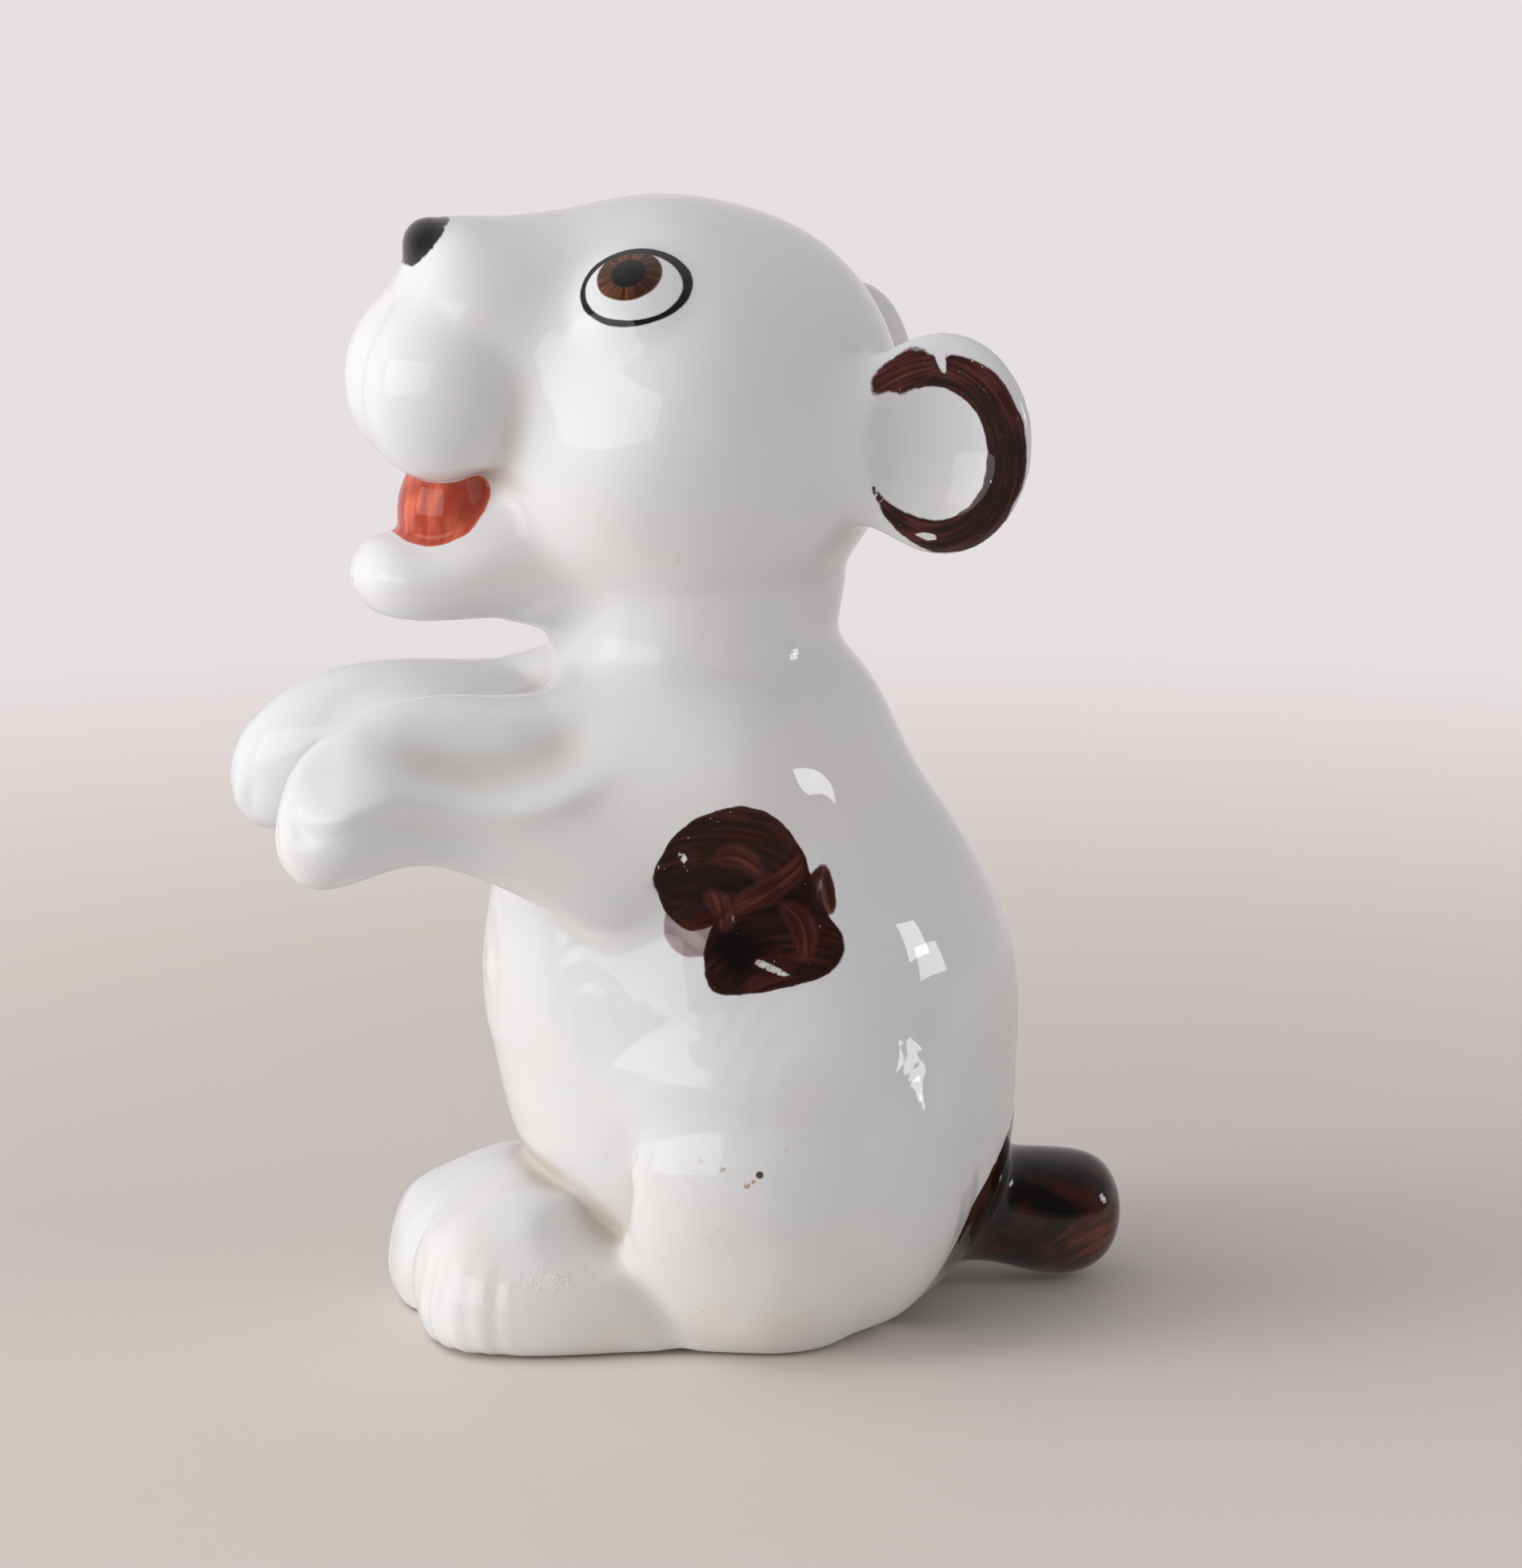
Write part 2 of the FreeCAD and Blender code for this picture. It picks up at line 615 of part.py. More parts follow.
def make_hind_leg(torso_form):
    """The left hind leg: a thigh folded against the belly, and a long flat foot with four toes."""
    thigh = ball(
        "thigh_form",
        size("haunch_wide"),
        size("haunch_deep"),
        size("haunch_tall"),
        x=size("haunch_aside"),
        y=size("haunch_along"),
        z=size("haunch_up"),
    )
    heel, sole, instep, toe = (sole_ring(part) for part in ("heel", "sole", "instep", "toe"))
    back = dome(heel, size("heel_dome"), 1)
    rings = back[::-1] + [heel, sole, instep, toe] + dome(toe, size("toe_dome"), -1)
    foot = make_loft("foot_form", rings)
    leg = fuse("hind_leg_form", thigh, foot)
    ground = add("Part::Box", "ground", Length=BLOCK, Width=BLOCK, Height=BLOCK)
    place(ground, x=f"{-BLOCK / 2}", y=f"{-BLOCK / 2}", z=f"{-BLOCK}")
    grooves = groove_cutters("toe_groove", toe, size("toe_dome"), 30)
    return cut("left_hind_leg", leg, ground, torso_form, *grooves)


def make_tail(torso_form):
    """The stub of a tail, straight back from the rump."""
    end_along = f"{size('tail_root_along')} + {size('tail_reach')}"
    root = Ring("0", size("tail_root_along"), size("tail_root_up"), size("tail_wide"), size("tail_root_tall"))
    end = Ring("0", end_along, size("tail_up"), size("tail_wide"), size("tail_tall"))
    rings = [root, *between(root, end, 2), end] + dome(end, size("tail_dome"), 1)
    tail = make_loft("tail_form", rings)
    return cut("tail", tail, torso_form)


# ---- the whole puppy -----------------------------------------------------------------------------


def make_puppy():
    make_sheet()
    make_unit_ring()
    torso_form = make_torso_form()
    head_form = make_head_form()
    jaw_form = make_jaw_form()
    make_torso(torso_form)
    make_head(head_form)
    cut("lower_jaw", on_head(cut("jaw_below_head", jaw_form, head_form)), torso_form)
    make_tongue(head_form, jaw_form)
    make_nose(head_form)
    mirrored("right_eye", make_eye(head_form))
    mirrored("right_ear", make_ear(head_form))
    mirrored("right_foreleg", make_foreleg(torso_form))
    mirrored("right_hind_leg", make_hind_leg(torso_form))
    make_tail(torso_form)
    doc.recompute()


def write_pieces():
    """Checks the document, then writes one STEP file for each piece."""
    failed = [thing.Name for thing in doc.Objects if {"Invalid", "Error"} & set(thing.State)]
    assert not failed, f"not computed: {failed}"
    pieces = [doc.getObject(name) for name in PIECES]
    for piece in pieces:
        shape = piece.Shape
        assert not shape.isNull() and shape.isValid(), f"{piece.Label} isn't a valid shape"
        assert len(shape.Solids) == 1, f"{piece.Label} has {len(shape.Solids)} solids"
    os.makedirs(OUT, exist_ok=True)
    for piece in pieces:
        piece.Shape.exportStep(os.path.join(OUT, f"{piece.Label}.step"))


make_puppy()
write_pieces()
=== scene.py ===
"""A glazed porcelain puppy that sits up and begs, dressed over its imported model.

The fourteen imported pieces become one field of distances, in which the joints between them are rounded
as slip and glaze round them. The skin of that field is then parted again into fourteen closed pieces.
Lengths are millimetres until a mesh is written. The puppy faces -Y and its left side is +X.
"""

import math
from collections import namedtuple

import bpy
import numpy as np
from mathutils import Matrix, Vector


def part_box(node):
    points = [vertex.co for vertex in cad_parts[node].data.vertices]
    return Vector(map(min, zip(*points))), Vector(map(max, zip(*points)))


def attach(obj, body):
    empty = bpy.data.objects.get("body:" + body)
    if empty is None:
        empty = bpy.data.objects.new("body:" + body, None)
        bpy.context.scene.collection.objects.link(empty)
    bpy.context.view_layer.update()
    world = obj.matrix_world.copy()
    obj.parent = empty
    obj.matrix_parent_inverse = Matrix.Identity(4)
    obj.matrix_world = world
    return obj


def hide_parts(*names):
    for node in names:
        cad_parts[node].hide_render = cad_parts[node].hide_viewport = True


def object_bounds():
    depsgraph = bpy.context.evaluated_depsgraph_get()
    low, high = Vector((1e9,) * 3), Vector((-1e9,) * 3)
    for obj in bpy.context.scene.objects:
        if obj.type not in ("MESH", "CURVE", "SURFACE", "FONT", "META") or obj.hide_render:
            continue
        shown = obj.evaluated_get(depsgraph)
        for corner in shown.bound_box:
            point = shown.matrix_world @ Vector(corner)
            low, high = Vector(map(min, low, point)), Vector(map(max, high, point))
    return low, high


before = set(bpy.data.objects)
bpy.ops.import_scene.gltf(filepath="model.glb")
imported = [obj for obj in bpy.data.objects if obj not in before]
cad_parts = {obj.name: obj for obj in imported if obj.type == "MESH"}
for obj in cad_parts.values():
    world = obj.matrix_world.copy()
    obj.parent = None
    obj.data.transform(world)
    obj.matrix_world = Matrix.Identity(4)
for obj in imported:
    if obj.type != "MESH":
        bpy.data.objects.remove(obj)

import openvdb as vdb
from mathutils import Vector

MM = 1000.0  # millimetres in a metre
CAD_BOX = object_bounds()
LEFT, RIGHT = 1, -1
SIDES = {"left": LEFT, "right": RIGHT}
SEED = 7

# ---- the field -----------------------------------------------------------------------------------

VOXEL = 0.4
BAND = 12  # voxels on each side of a surface in which a distance is exact
FAR = VOXEL * BAND
MARGIN = 3.0
APART = -1  # label of a speck that the shaping left beside or inside the skin
LIP = 0.6  # how far the shut end of a piece lies behind the skin
TRANSFORM = vdb.createLinearTransform(voxelSize=VOXEL)
LOW = np.array(CAD_BOX[0]) * MM - MARGIN
HIGH = np.array(CAD_BOX[1]) * MM + MARGIN
FIRST = np.floor(LOW / VOXEL).astype(int)
COUNT = np.ceil(HIGH / VOXEL).astype(int) - FIRST + 1
TICKS = [((FIRST[i] + np.arange(COUNT[i])) * VOXEL).astype(np.float32) for i in range(3)]
X, Y, Z = np.meshgrid(*TICKS, indexing="ij", sparse=True)


def corners(node):
    """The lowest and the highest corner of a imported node."""
    return tuple(np.array(corner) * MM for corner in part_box(node))


def mesh_arrays(ob):
    """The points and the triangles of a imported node's mesh."""
    mesh = ob.data
    mesh.calc_loop_triangles()
    points = np.empty(len(mesh.vertices) * 3, np.float32)
    mesh.vertices.foreach_get("co", points)
    faces = np.empty(len(mesh.loop_triangles) * 3, np.int32)
    mesh.loop_triangles.foreach_get("vertices", faces)
    return points.reshape(-1, 3) * MM, faces.reshape(-1, 3)


def distances(points, faces):
    """Signed distance from a closed mesh at every point of the grid, negative inside."""
    level = vdb.FloatGrid.createLevelSetFromPolygons(
        points, triangles=faces, transform=TRANSFORM, halfWidth=BAND
    )
    field = np.zeros(COUNT, np.float32)
    level.copyToArray(field, ijk=tuple(int(i) for i in FIRST))
    return field


def as_grid(field):
    """The field as a grid of OpenVDB."""
    grid = vdb.FloatGrid(FAR)
    grid.transform = TRANSFORM
    grid.copyFromArray(field, ijk=tuple(int(i) for i in FIRST), tolerance=0.0)
    return grid


def without_hollow(field, where):
    """A cast piece's field with the hollow in it filled, in the rows across it where that is asked."""
    inside = field < 0
    from_left = np.maximum.accumulate(inside, axis=0)
    from_right = np.maximum.accumulate(inside[::-1], axis=0)[::-1]
    filled = from_left & from_right & where
    solid = np.where(filled, np.minimum(field, -VOXEL), field)
    points, triangles, quads = as_grid(solid).convertToPolygons()
    faces = np.concatenate([triangles, quads[:, :3], quads[:, [0, 2, 3]]])
    return distances(points, faces)


def join(a, b, radius):
    """Both, with the crease between them rounded over a radius, which may differ from place to place.

    Where both are far away nothing is rounded, so that no skin grows there.
    """
    near = np.maximum(radius - np.abs(a - b), 0) / radius
    both = np.minimum(a, b)
    return both - (both < 0.99 * FAR) * near * near * radius / 4


def carve(a, b, radius):
    """What of a is inside b too, with the edge rounded."""
    return -join(-a, -b, radius)


def oval(centre, halves, turn=0.0):
    """Roughly the distance from an ellipsoid, which is turned about X by an angle."""
    cx, cy, cz = centre
    along = (Y - cy) * math.cos(turn) + (Z - cz) * math.sin(turn)
    up = (Z - cz) * math.cos(turn) - (Y - cy) * math.sin(turn)
    hx, hy, hz = halves
    size = np.sqrt(((X - cx) / hx) ** 2 + (along / hy) ** 2 + (up / hz) ** 2)
    slope = np.sqrt(((X - cx) / hx**2) ** 2 + (along / hy**2) ** 2 + (up / hz**2) ** 2)
    return np.clip((size - 1) * size / np.maximum(slope, 1e-6), -FAR, FAR).astype(np.float32)


def crest(value, breadth):
    """1 at nought, and less on both sides of it."""
    return np.exp(-((value / breadth) ** 2))


def ramp(value, start, end):
    """From 0 at start to 1 at end, with soft ends."""
    share = np.clip((value - start) / (end - start), 0, 1)
    return share * share * (3 - 2 * share)


def blurred(field, sigma):
    """The field averaged over a ball of about sigma."""
    reach = max(1, math.ceil(2.5 * sigma / VOXEL))
    weights = np.exp(-0.5 * (np.arange(-reach, reach + 1) * VOXEL / sigma) ** 2)
    weights /= weights.sum()
    for axis in range(3):
        pad = [(reach, reach) if i == axis else (0, 0) for i in range(3)]
        padded = np.pad(field, pad, mode="edge")
        total = np.zeros_like(field)
        for i, weight in enumerate(weights):
            total += weight * np.take(padded, range(i, i + field.shape[axis]), axis=axis)
        field = total
    return field


def waves(longest, count, seed):
    """A slow random swell over the grid, from -1 to 1, for the unevenness of a hand-finished cast."""
    rng = np.random.default_rng(seed)
    total = np.zeros(COUNT, np.float32)
    for _ in range(count):
        direction = rng.normal(size=3)
        direction *= math.tau / (longest * rng.uniform(0.5, 1)) / np.linalg.norm(direction)
        kx, ky, kz = direction
        total += np.sin(kx * X + ky * Y + kz * Z + rng.uniform(0, math.tau))
    return total / count**0.5


# ---- places, some worked out from the imported pieces and some listed --------------------------------

HEAD_TILT = math.radians(24)
EAR_YAW = math.radians(20)
HEAD_BOX = corners("head")
SKULL = HEAD_BOX[1][0]  # radius of the skull
HEAD_AT = np.array([0.0, HEAD_BOX[1][1] - 0.96 * SKULL, HEAD_BOX[1][2] - 1.03 * SKULL])
# how far behind the middle of the skull, along the tilted head
HEAD_ALONG = (Y - HEAD_AT[1]) * math.cos(HEAD_TILT) - (Z - HEAD_AT[2]) * math.sin(HEAD_TILT)
# ovals on the left: their middle and their half width, length and height
THIGH = (13.2, -1.6, 12.8), (8.2, 12.2, 13.4)
ABOVE_FOOT = (17.2, -13.0, 17.6), (10.5, 16.0, 11.9)
TOE_PITCH = math.radians(17)
# lines along the outside of a foreleg: how far back from the paw's tip, and how far under its top
ARM_RIDGE = (2.7, 7.4, 13.7, 16.9, 20.1, 25.1), (7.3, 5.9, 7.4, 7.5, 6.8, 5.1)
TOE_LINE = (2.4, 5.6, 10.4, 13.4, 18.5), (8.2, 7.6, 8.4, 9.8, 10.7)


# ---- shaping --------------------------------------------------------------------------------------


def pieces_fields():
    """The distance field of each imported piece, with the hollows filled."""
    fields = {name: distances(*mesh_arrays(ob)) for name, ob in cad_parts.items()}
    above_vent = Z > 2.4
    behind_mouth = HEAD_ALONG > -0.84 * SKULL
    fields["torso"] = without_hollow(fields["torso"], above_vent)
    fields["head"] = without_hollow(fields["head"], behind_mouth)
    return fields


def with_arms(skin, fields):
    """The arms run into the shoulder above, and keep a crease under the elbow."""
    low, high = corners("left_foreleg")
    tip = low[1]
    shoulder = 1.5 + 6.0 * ramp(Z, low[2] + 4, high[2] - 3)
    arms = join(fields["left_foreleg"], fields["right_foreleg"], 3.0)
    skin = join(skin, arms, shoulder)
    # a soft ridge along the outside of each arm, with a hollow above it and a fainter toe line under it
    lines = [high[2] - np.interp((Y - tip).ravel(), *line) for line in (ARM_RIDGE, TOE_LINE)]
    ridge, toe_line = (line.astype(np.float32)[None, :, None] for line in lines)
    outside = ramp(np.abs(X), 8.5, 11.0)
    along = outside * ramp(Y, tip + 0.5, tip + 4) * (1 - ramp(Y, tip + 20, tip + 26))
    skin = skin - 0.6 * crest(Z - ridge, 1.0) * along + 0.8 * crest(Z - ridge - 3.2, 1.9) * along
    short = outside * ramp(Y, tip + 0.3, tip + 2) * (1 - ramp(Y, tip + 12, tip + 20))
    return skin + 0.28 * crest(Z - toe_line, 0.6) * short


def with_legs(skin, fields):
    """The thighs run into the rump behind and keep a fold in front, and the feet make one low dome."""
    toes = corners("left_hind_leg")[0][1]
    # the web of slip between the feet
    lap = carve(oval((0, toes + 14.0, 4.5), (10.5, 13.6, 8.3)), -Z, 0.5)
    belly = skin
    for side, sign in SIDES.items():
        leg = fields[f"{side}_hind_leg"]
        soft_foot = blurred(leg, 0.9)
        leg = leg + ramp(-Y, 9, 14) * (1 - ramp(Z, 13, 15)) * (soft_foot - leg)
        leg = join(leg, lap, 4.0)
        thigh, hollow = (oval((sign * x, y, z), halves) for (x, y, z), halves in (THIGH, ABOVE_FOOT))
        leg = carve(leg, join(-hollow, thigh - 0.6, 2.5), 0.7)
        fold = 0.9 + 5.0 * np.maximum(ramp(Y, 0, 9), ramp(Z, 16, 23))
        groove = 0.45 * crest(leg - belly, 1.1) * ramp(-Y, 2, 8) * (1 - ramp(Z, 15, 21))
        skin = join(skin, leg, fold) + groove
    # a shallow groove parts the feet, and flutes round their fronts part the toes
    parting = crest(X, 1.3) * ramp(toes + 7 - Y, 0, 5) * (1 - ramp(Z, 6, 10))
    skin = skin + 0.8 * parting
    for sign in SIDES.values():
        turn = np.arctan2(sign * X - 7.5, -(Y - toes - 8.5))
        flutes = (0.5 + 0.5 * np.cos(turn * math.tau / TOE_PITCH)) ** 3
        flutes = flutes * ramp(turn, -0.35, -0.1) * (1 - ramp(turn, 1.05, 1.25))
        flutes = flutes * ramp(sign * X, 1.0, 3.0) * ramp(toes + 7.5 - Y, 0, 2.5)
        skin = skin + 0.32 * flutes * (1 - ramp(Z, 5.0, 9.0))
    return skin


def with_head(skin, fields):
    """The head with its face, on a narrow waist of a neck."""
    face = blurred(fields["head"], 0.7)
    face = join(face, fields["lower_jaw"], 1.6)
    for side in SIDES:
        face = join(face, fields[f"{side}_ear"], 2.4)
        face = join(face, fields[f"{side}_eye"], 1.6)
    face = join(face, fields["nose"], 0.7)
    face = join(face, fields["tongue"], 0.5)
    skin = join(skin, face, 3.0)
    neck = HEAD_BOX[0][2]
    return skin + 0.55 * crest(Z - neck + 0.3, 2.6) * ramp(Y, -18, -15)


def shaped_skin(fields):
    """The whole puppy as one field."""
    skin = with_arms(fields["torso"], fields)
    skin = with_legs(skin, fields)
    skin = join(skin, fields["tail"], 1.6)
    skin = with_head(skin, fields)
    # the back is smoother than the rest
    smooth = blurred(skin, 2.0)
    back = ramp(Y, -6, 4) * ramp(Z, 18, 30) * (1 - ramp(Z, 48, 51.5))
    skin = blurred(skin, 0.4)
    skin += back * (smooth - 0.06 - skin)
    skin += 0.07 * waves(16.0, 12, SEED)
    return carve(skin, -Z, 0.5)


# ---- skin to meshes ---------------------------------------------------------------------------------


def sample(field, points):
    """The field's values at points, from the eight grid points round each."""
    spot = points / VOXEL - FIRST
    base = np.clip(np.floor(spot).astype(int), 0, COUNT - 2)
    share = spot - base
    total = np.zeros(len(points))
    for corner in range(8):
        step = np.array([corner & 1, corner >> 1 & 1, corner >> 2 & 1])
        weight = np.prod(np.where(step, share, 1 - share), axis=1)
        total += weight * field[tuple((base + step).T)]
    return total


def gradient(field, points):
    """The direction in which the field grows at points, per millimetre."""
    columns = []
    for axis in range(3):
        step = np.zeros(3)
        step[axis] = VOXEL * 0.5
        columns.append((sample(field, points + step) - sample(field, points - step)) / VOXEL)
    return np.stack(columns, axis=1)


def surface(field):
    """The points, outward normals and quads of the skin."""
    points, _, quads = as_grid(field).convertToPolygons()
    points = points.astype(float)
    quads = quads.astype(int)
    for _ in range(3):
        slope = gradient(field, points)
        size = np.maximum((slope**2).sum(axis=1, keepdims=True), 0.05)
        points -= np.clip(sample(field, points)[:, None] * slope / size, -VOXEL, VOXEL)
    slope = gradient(field, points)
    normals = slope / np.maximum(np.linalg.norm(slope, axis=1, keepdims=True), 1e-9)
    a, b, c = (points[quads[:, i]] for i in range(3))
    outward = (np.cross(b - a, c - b) * normals[quads[:, 0]]).sum()
    if outward < 0:
        quads = quads[:, ::-1]
    return points, normals, quads


def neighbours(quads):
    """The pairs of quads that share an edge."""
    edges = np.sort(np.concatenate([quads[:, [i, (i + 1) % 4]] for i in range(4)]), axis=1)
    owner = np.tile(np.arange(len(quads)), 4)
    order = np.lexsort((edges[:, 1], edges[:, 0]))
    edges, owner = edges[order], owner[order]
    same = (edges[1:] == edges[:-1]).all(axis=1)
    return owner[:-1][same], owner[1:][same]


def part_skin(names, fields, points, quads):
    """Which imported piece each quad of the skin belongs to, in one patch for each piece, or APART."""
    centres = points[quads].mean(axis=1)
    labels = np.argmin([sample(fields[name], centres) for name in names], axis=0)
    one, other = neighbours(quads)
    for _ in range(6):
        votes = np.zeros((len(quads), len(names)), int)
        np.add.at(votes, (one, labels[other]), 1)
        np.add.at(votes, (other, labels[one]), 1)
        winner = votes.argmax(axis=1)
        labels = np.where(votes.max(axis=1) >= 3, winner, labels)
    around = [[] for _ in quads]
    for i, k in zip(one, other):
        around[i].append(k)
        around[k].append(i)
    for label in range(len(names)):
        left = set(np.flatnonzero(labels == label))
        patches = []
        while left:
            patch = [left.pop()]
            for face in patch:
                for near in around[face]:
                    if near in left:
                        left.remove(near)
                        patch.append(near)
            patches.append(patch)
        patches.sort(key=len)
        for patch in patches[:-1]:
            rim = [labels[near] for face in patch for near in around[face] if labels[near] != label]
            labels[patch] = np.bincount(rim).argmax() if rim else APART
    return labels


def boundary_loops(quads):
    """The closed runs of points round the open edges of a patch of quads."""
    edges = np.concatenate([quads[:, [i, (i + 1) % 4]] for i in range(4)])
    have = {(a, b) for a, b in edges.tolist()}
    onward = {}
    for a, b in have:
        if (b, a) not in have:
            onward.setdefault(a, []).append(b)
    loops = []
    while onward:
        start = next(iter(onward))
        loop = [start]
        while True:
            after = onward[loop[-1]].pop()
            if not onward[loop[-1]]:
                del onward[loop[-1]]
            if after == start:
                break
            loop.append(after)
        loops.append(loop)
    return loops


def make_piece(name, points, normals, quads, skin):
    """A closed piece from its patch of the skin, shut across each joint well behind the skin.

    It returns the piece with the places and the normals of its points.
    """
    used, index = np.unique(quads, return_inverse=True)
    quads = index.reshape(-1, 4)
    spots = points[used]
    shade = normals[used]
    faces = quads.tolist()
    for loop in boundary_loops(quads):
        first = len(spots)
        count = len(loop)
        lip = spots[loop] - shade[loop] * LIP
        middle = lip.mean(axis=0)
        for _ in range(12):
            depth = sample(skin, middle[None])[0]
            if depth < -2 * LIP:
                break
            middle = middle - gradient(skin, middle[None])[0] * VOXEL
        spots = np.vstack([spots, lip, middle])
        shade = np.vstack([shade, shade[loop], shade[loop].mean(axis=0)])
        for i in range(count):
            k = (i + 1) % count
            faces.append((loop[k], loop[i], first + i, first + k))
            faces.append((first + k, first + i, first + count))
    mesh = bpy.data.meshes.new(f"{name}_skin")
    mesh.from_pydata((spots / MM).tolist(), [], faces)
    mesh.polygons.foreach_set("use_smooth", [True] * len(faces))
    mesh.normals_split_custom_set_from_vertices(shade.tolist())
    piece = bpy.data.objects.new(f"{name}_skin", mesh)
    bpy.context.collection.objects.link(piece)
    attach(piece, "root")
    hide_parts(name)
    return piece, spots, shade


# ---- paint: where the brush went, worked out for the points of each piece -----------------------------

# The colours of a full and of a starved brush, how ragged and how soft the edge is in millimetres,
# the bristle marks per millimetre, whether flecks of glaze show through, and how it lies on the rest.
Look = namedtuple("Look", "thick thin ragged soft streaks flecks blend")
LOOKS = {
    "flank": Look((0.017, 0.0040, 0.0034), (0.062, 0.0140, 0.0095), 0.10, 0.07, 2.0, True, "MIX"),
    "core": Look((0.16, 0.14, 0.15), (0.50, 0.42, 0.42), 0.25, 0.9, 1.2, False, "MULTIPLY"),
    "swirl": Look((0.040, 0.0085, 0.0060), (0.125, 0.0340, 0.0250), 0.15, 0.30, 2.4, False, "MIX"),
    "lobe": Look((0.035, 0.0090, 0.0070), (0.16, 0.070, 0.050), 0.08, 0.08, 2.0, False, "MIX"),
    # painted reflection: the grey-mauve sheen of the window on the dark patch, laid on as a pale stroke
    "wash": Look((0.30, 0.23, 0.245), (0.42, 0.34, 0.35), 0.10, 0.10, 1.2, False, "MIX"),
    "rump": Look((0.0034, 0.0014, 0.0012), (0.066, 0.0140, 0.0078), 0.15, 0.07, 0.8, True, "MIX"),
    "red": Look((0.030, 0.0060, 0.0040), (0.140, 0.0360, 0.0220), 0.25, 0.5, 1.6, False, "MIX"),
    "ear": Look((0.024, 0.0085, 0.0090), (0.105, 0.0300, 0.0270), 0.09, 0.07, 3.0, True, "MIX"),
    "feather": Look((0.040, 0.0120, 0.0110), (0.150, 0.0440, 0.0360), 0.30, 0.16, 4.0, True, "MIX"),
    "mouth": Look((0.42, 0.062, 0.036), (0.74, 0.160, 0.088), 0.06, 0.08, 0.9, False, "MIX"),
    "nose": Look((0.009, 0.008, 0.009), (0.020, 0.018, 0.019), 0.10, 0.07, 1.0, False, "MIX"),
    "iris": Look((0.040, 0.013, 0.007), (0.160, 0.060, 0.024), 0.03, 0.08, 1.6, False, "MIX"),
    "pupil": Look((0.006, 0.005, 0.006), (0.010, 0.009, 0.010), 0.03, 0.08, 1.0, False, "MIX"),
    "lid": Look((0.007, 0.006, 0.007), (0.018, 0.014, 0.014), 0.03, 0.06, 1.2, False, "MIX"),
}
LINES = ("lid",)  # looks whose stroke is a line of a given half breadth along an edge
UNPAINTED = 6.0  # millimetres outside a stroke, where nothing of it is left
BACKWARD = np.array([0.0, 1.0, 0.0])


def facing(points, centre, out, right):
    """Across, up and out of points, as the painter sees them who looks straight at a place."""
    out = out / np.linalg.norm(out)
    up = np.array([0.0, 0.0, 1.0])
    up = up - out * (up @ out)
    up /= np.linalg.norm(up)
    right = right - out * (right @ out) - up * (right @ up)
    right /= np.linalg.norm(right)
    offset = points - centre
    return offset @ right, offset @ up, offset @ out


def dab(across, up, centre, halves, turn=0.0, bend=0.0):
    """How far points are outside a dab, and where they are along and across its bristles."""
    c, s = math.cos(math.radians(turn)), math.sin(math.radians(turn))
    along = (across - centre[0]) * c + (up - centre[1]) * s
    aside = (up - centre[1]) * c - (across - centre[0]) * s + bend * along**2
    reach = np.hypot(along / halves[0], aside / halves[1])
    return (reach - 1) * min(halves), along, aside


def line_gap(across, up, start, end, half):
    """How far points are outside a thin gap between two places, which the brush missed."""
    start, end = np.array(start), np.array(end)
    run = end - start
    share = np.clip(((across - start[0]) * run[0] + (up - start[1]) * run[1]) / (run @ run), 0, 1)
    width = half * (0.35 + 0.65 * np.sin(math.pi * share))
    return np.hypot(across - start[0] - share * run[0], up - start[1] - share * run[1]) - width


def flank_paint(points):
    """The overlapping dabs of the patch on the left flank, with a painted reflection of the window over
    its lower left.
    """
    width = corners("torso")[1][0]
    centre = np.array([0.88 * width, -0.24 * width, 0.62 * corners("left_foreleg")[1][2] + 4.9])
    across, up, depth = facing(points, centre, np.array([0.94, -0.22, 0.24]), BACKWARD)
    behind = np.where(depth < -8, UNPAINTED, -UNPAINTED)
    # look, centre, half length and half breadth, turn in degrees, bend
    dabs = {
        # the pale grey-mauve stroke on the lower left is a painted reflection of the window
        "flank_wash": ("wash", (-4.4, -2.4), (2.3, 2.0), -30, 0.0),
        "flank_lobe": ("lobe", (5.2, 0.5), (2.0, 1.1), 98, 0.1),
        "flank_left": ("flank", (-4.1, 1.2), (2.9, 3.6), 15, 0.05),
        "flank_lower": ("flank", (1.4, -2.8), (5.4, 4.0), 12, 0.06),
        "flank_upper": ("flank", (-0.9, 2.7), (6.0, 4.1), -9, 0.05),
        "flank_core": ("core", (-0.6, 0.3), (4.6, 1.5), -4, 0.0),
        "flank_dark": ("core", (-0.4, -4.0), (2.6, 1.7), -20, 0.0),
        "flank_swirl": ("swirl", (-0.9, 3.0), (1.9, 0.9), -14, 0.16),
        "flank_cross": ("swirl", (1.9, 0.9), (4.0, 0.9), 36, -0.04),
        "flank_curl": ("swirl", (4.0, -2.2), (2.3, 1.0), -68, 0.14),
        "flank_fleck": ("swirl", (-2.2, -0.8), (1.5, 0.9), -75, 0.1),
    }
    gaps = [
        line_gap(across, up, (-5.4, 3.5), (-4.6, 2.3), 0.32),
        line_gap(across, up, (0.4, -4.8), (3.2, -6.0), 0.26),
        line_gap(across, up, (-1.3, -1.3), (-1.1, -2.1), 0.16),
        line_gap(across, up, (5.2, 1.4), (5.1, -0.3), 0.2),
    ]
    missed = np.min(gaps, axis=0)
    strokes = {name: (look, *dab(across, up, *stroke)) for name, (look, *stroke) in dabs.items()}
    body = np.min([edge for look, edge, *_ in strokes.values() if look == "flank"], axis=0)
    layers = {}
    for name, (look, edge, along, aside) in strokes.items():
        edge = np.max([edge, -missed, behind], axis=0)
        if look in ("core", "swirl"):  # these stay on the body of the patch
            edge = np.maximum(edge, body + 0.3)
        layers[name] = (look, edge, along, aside)
    return layers


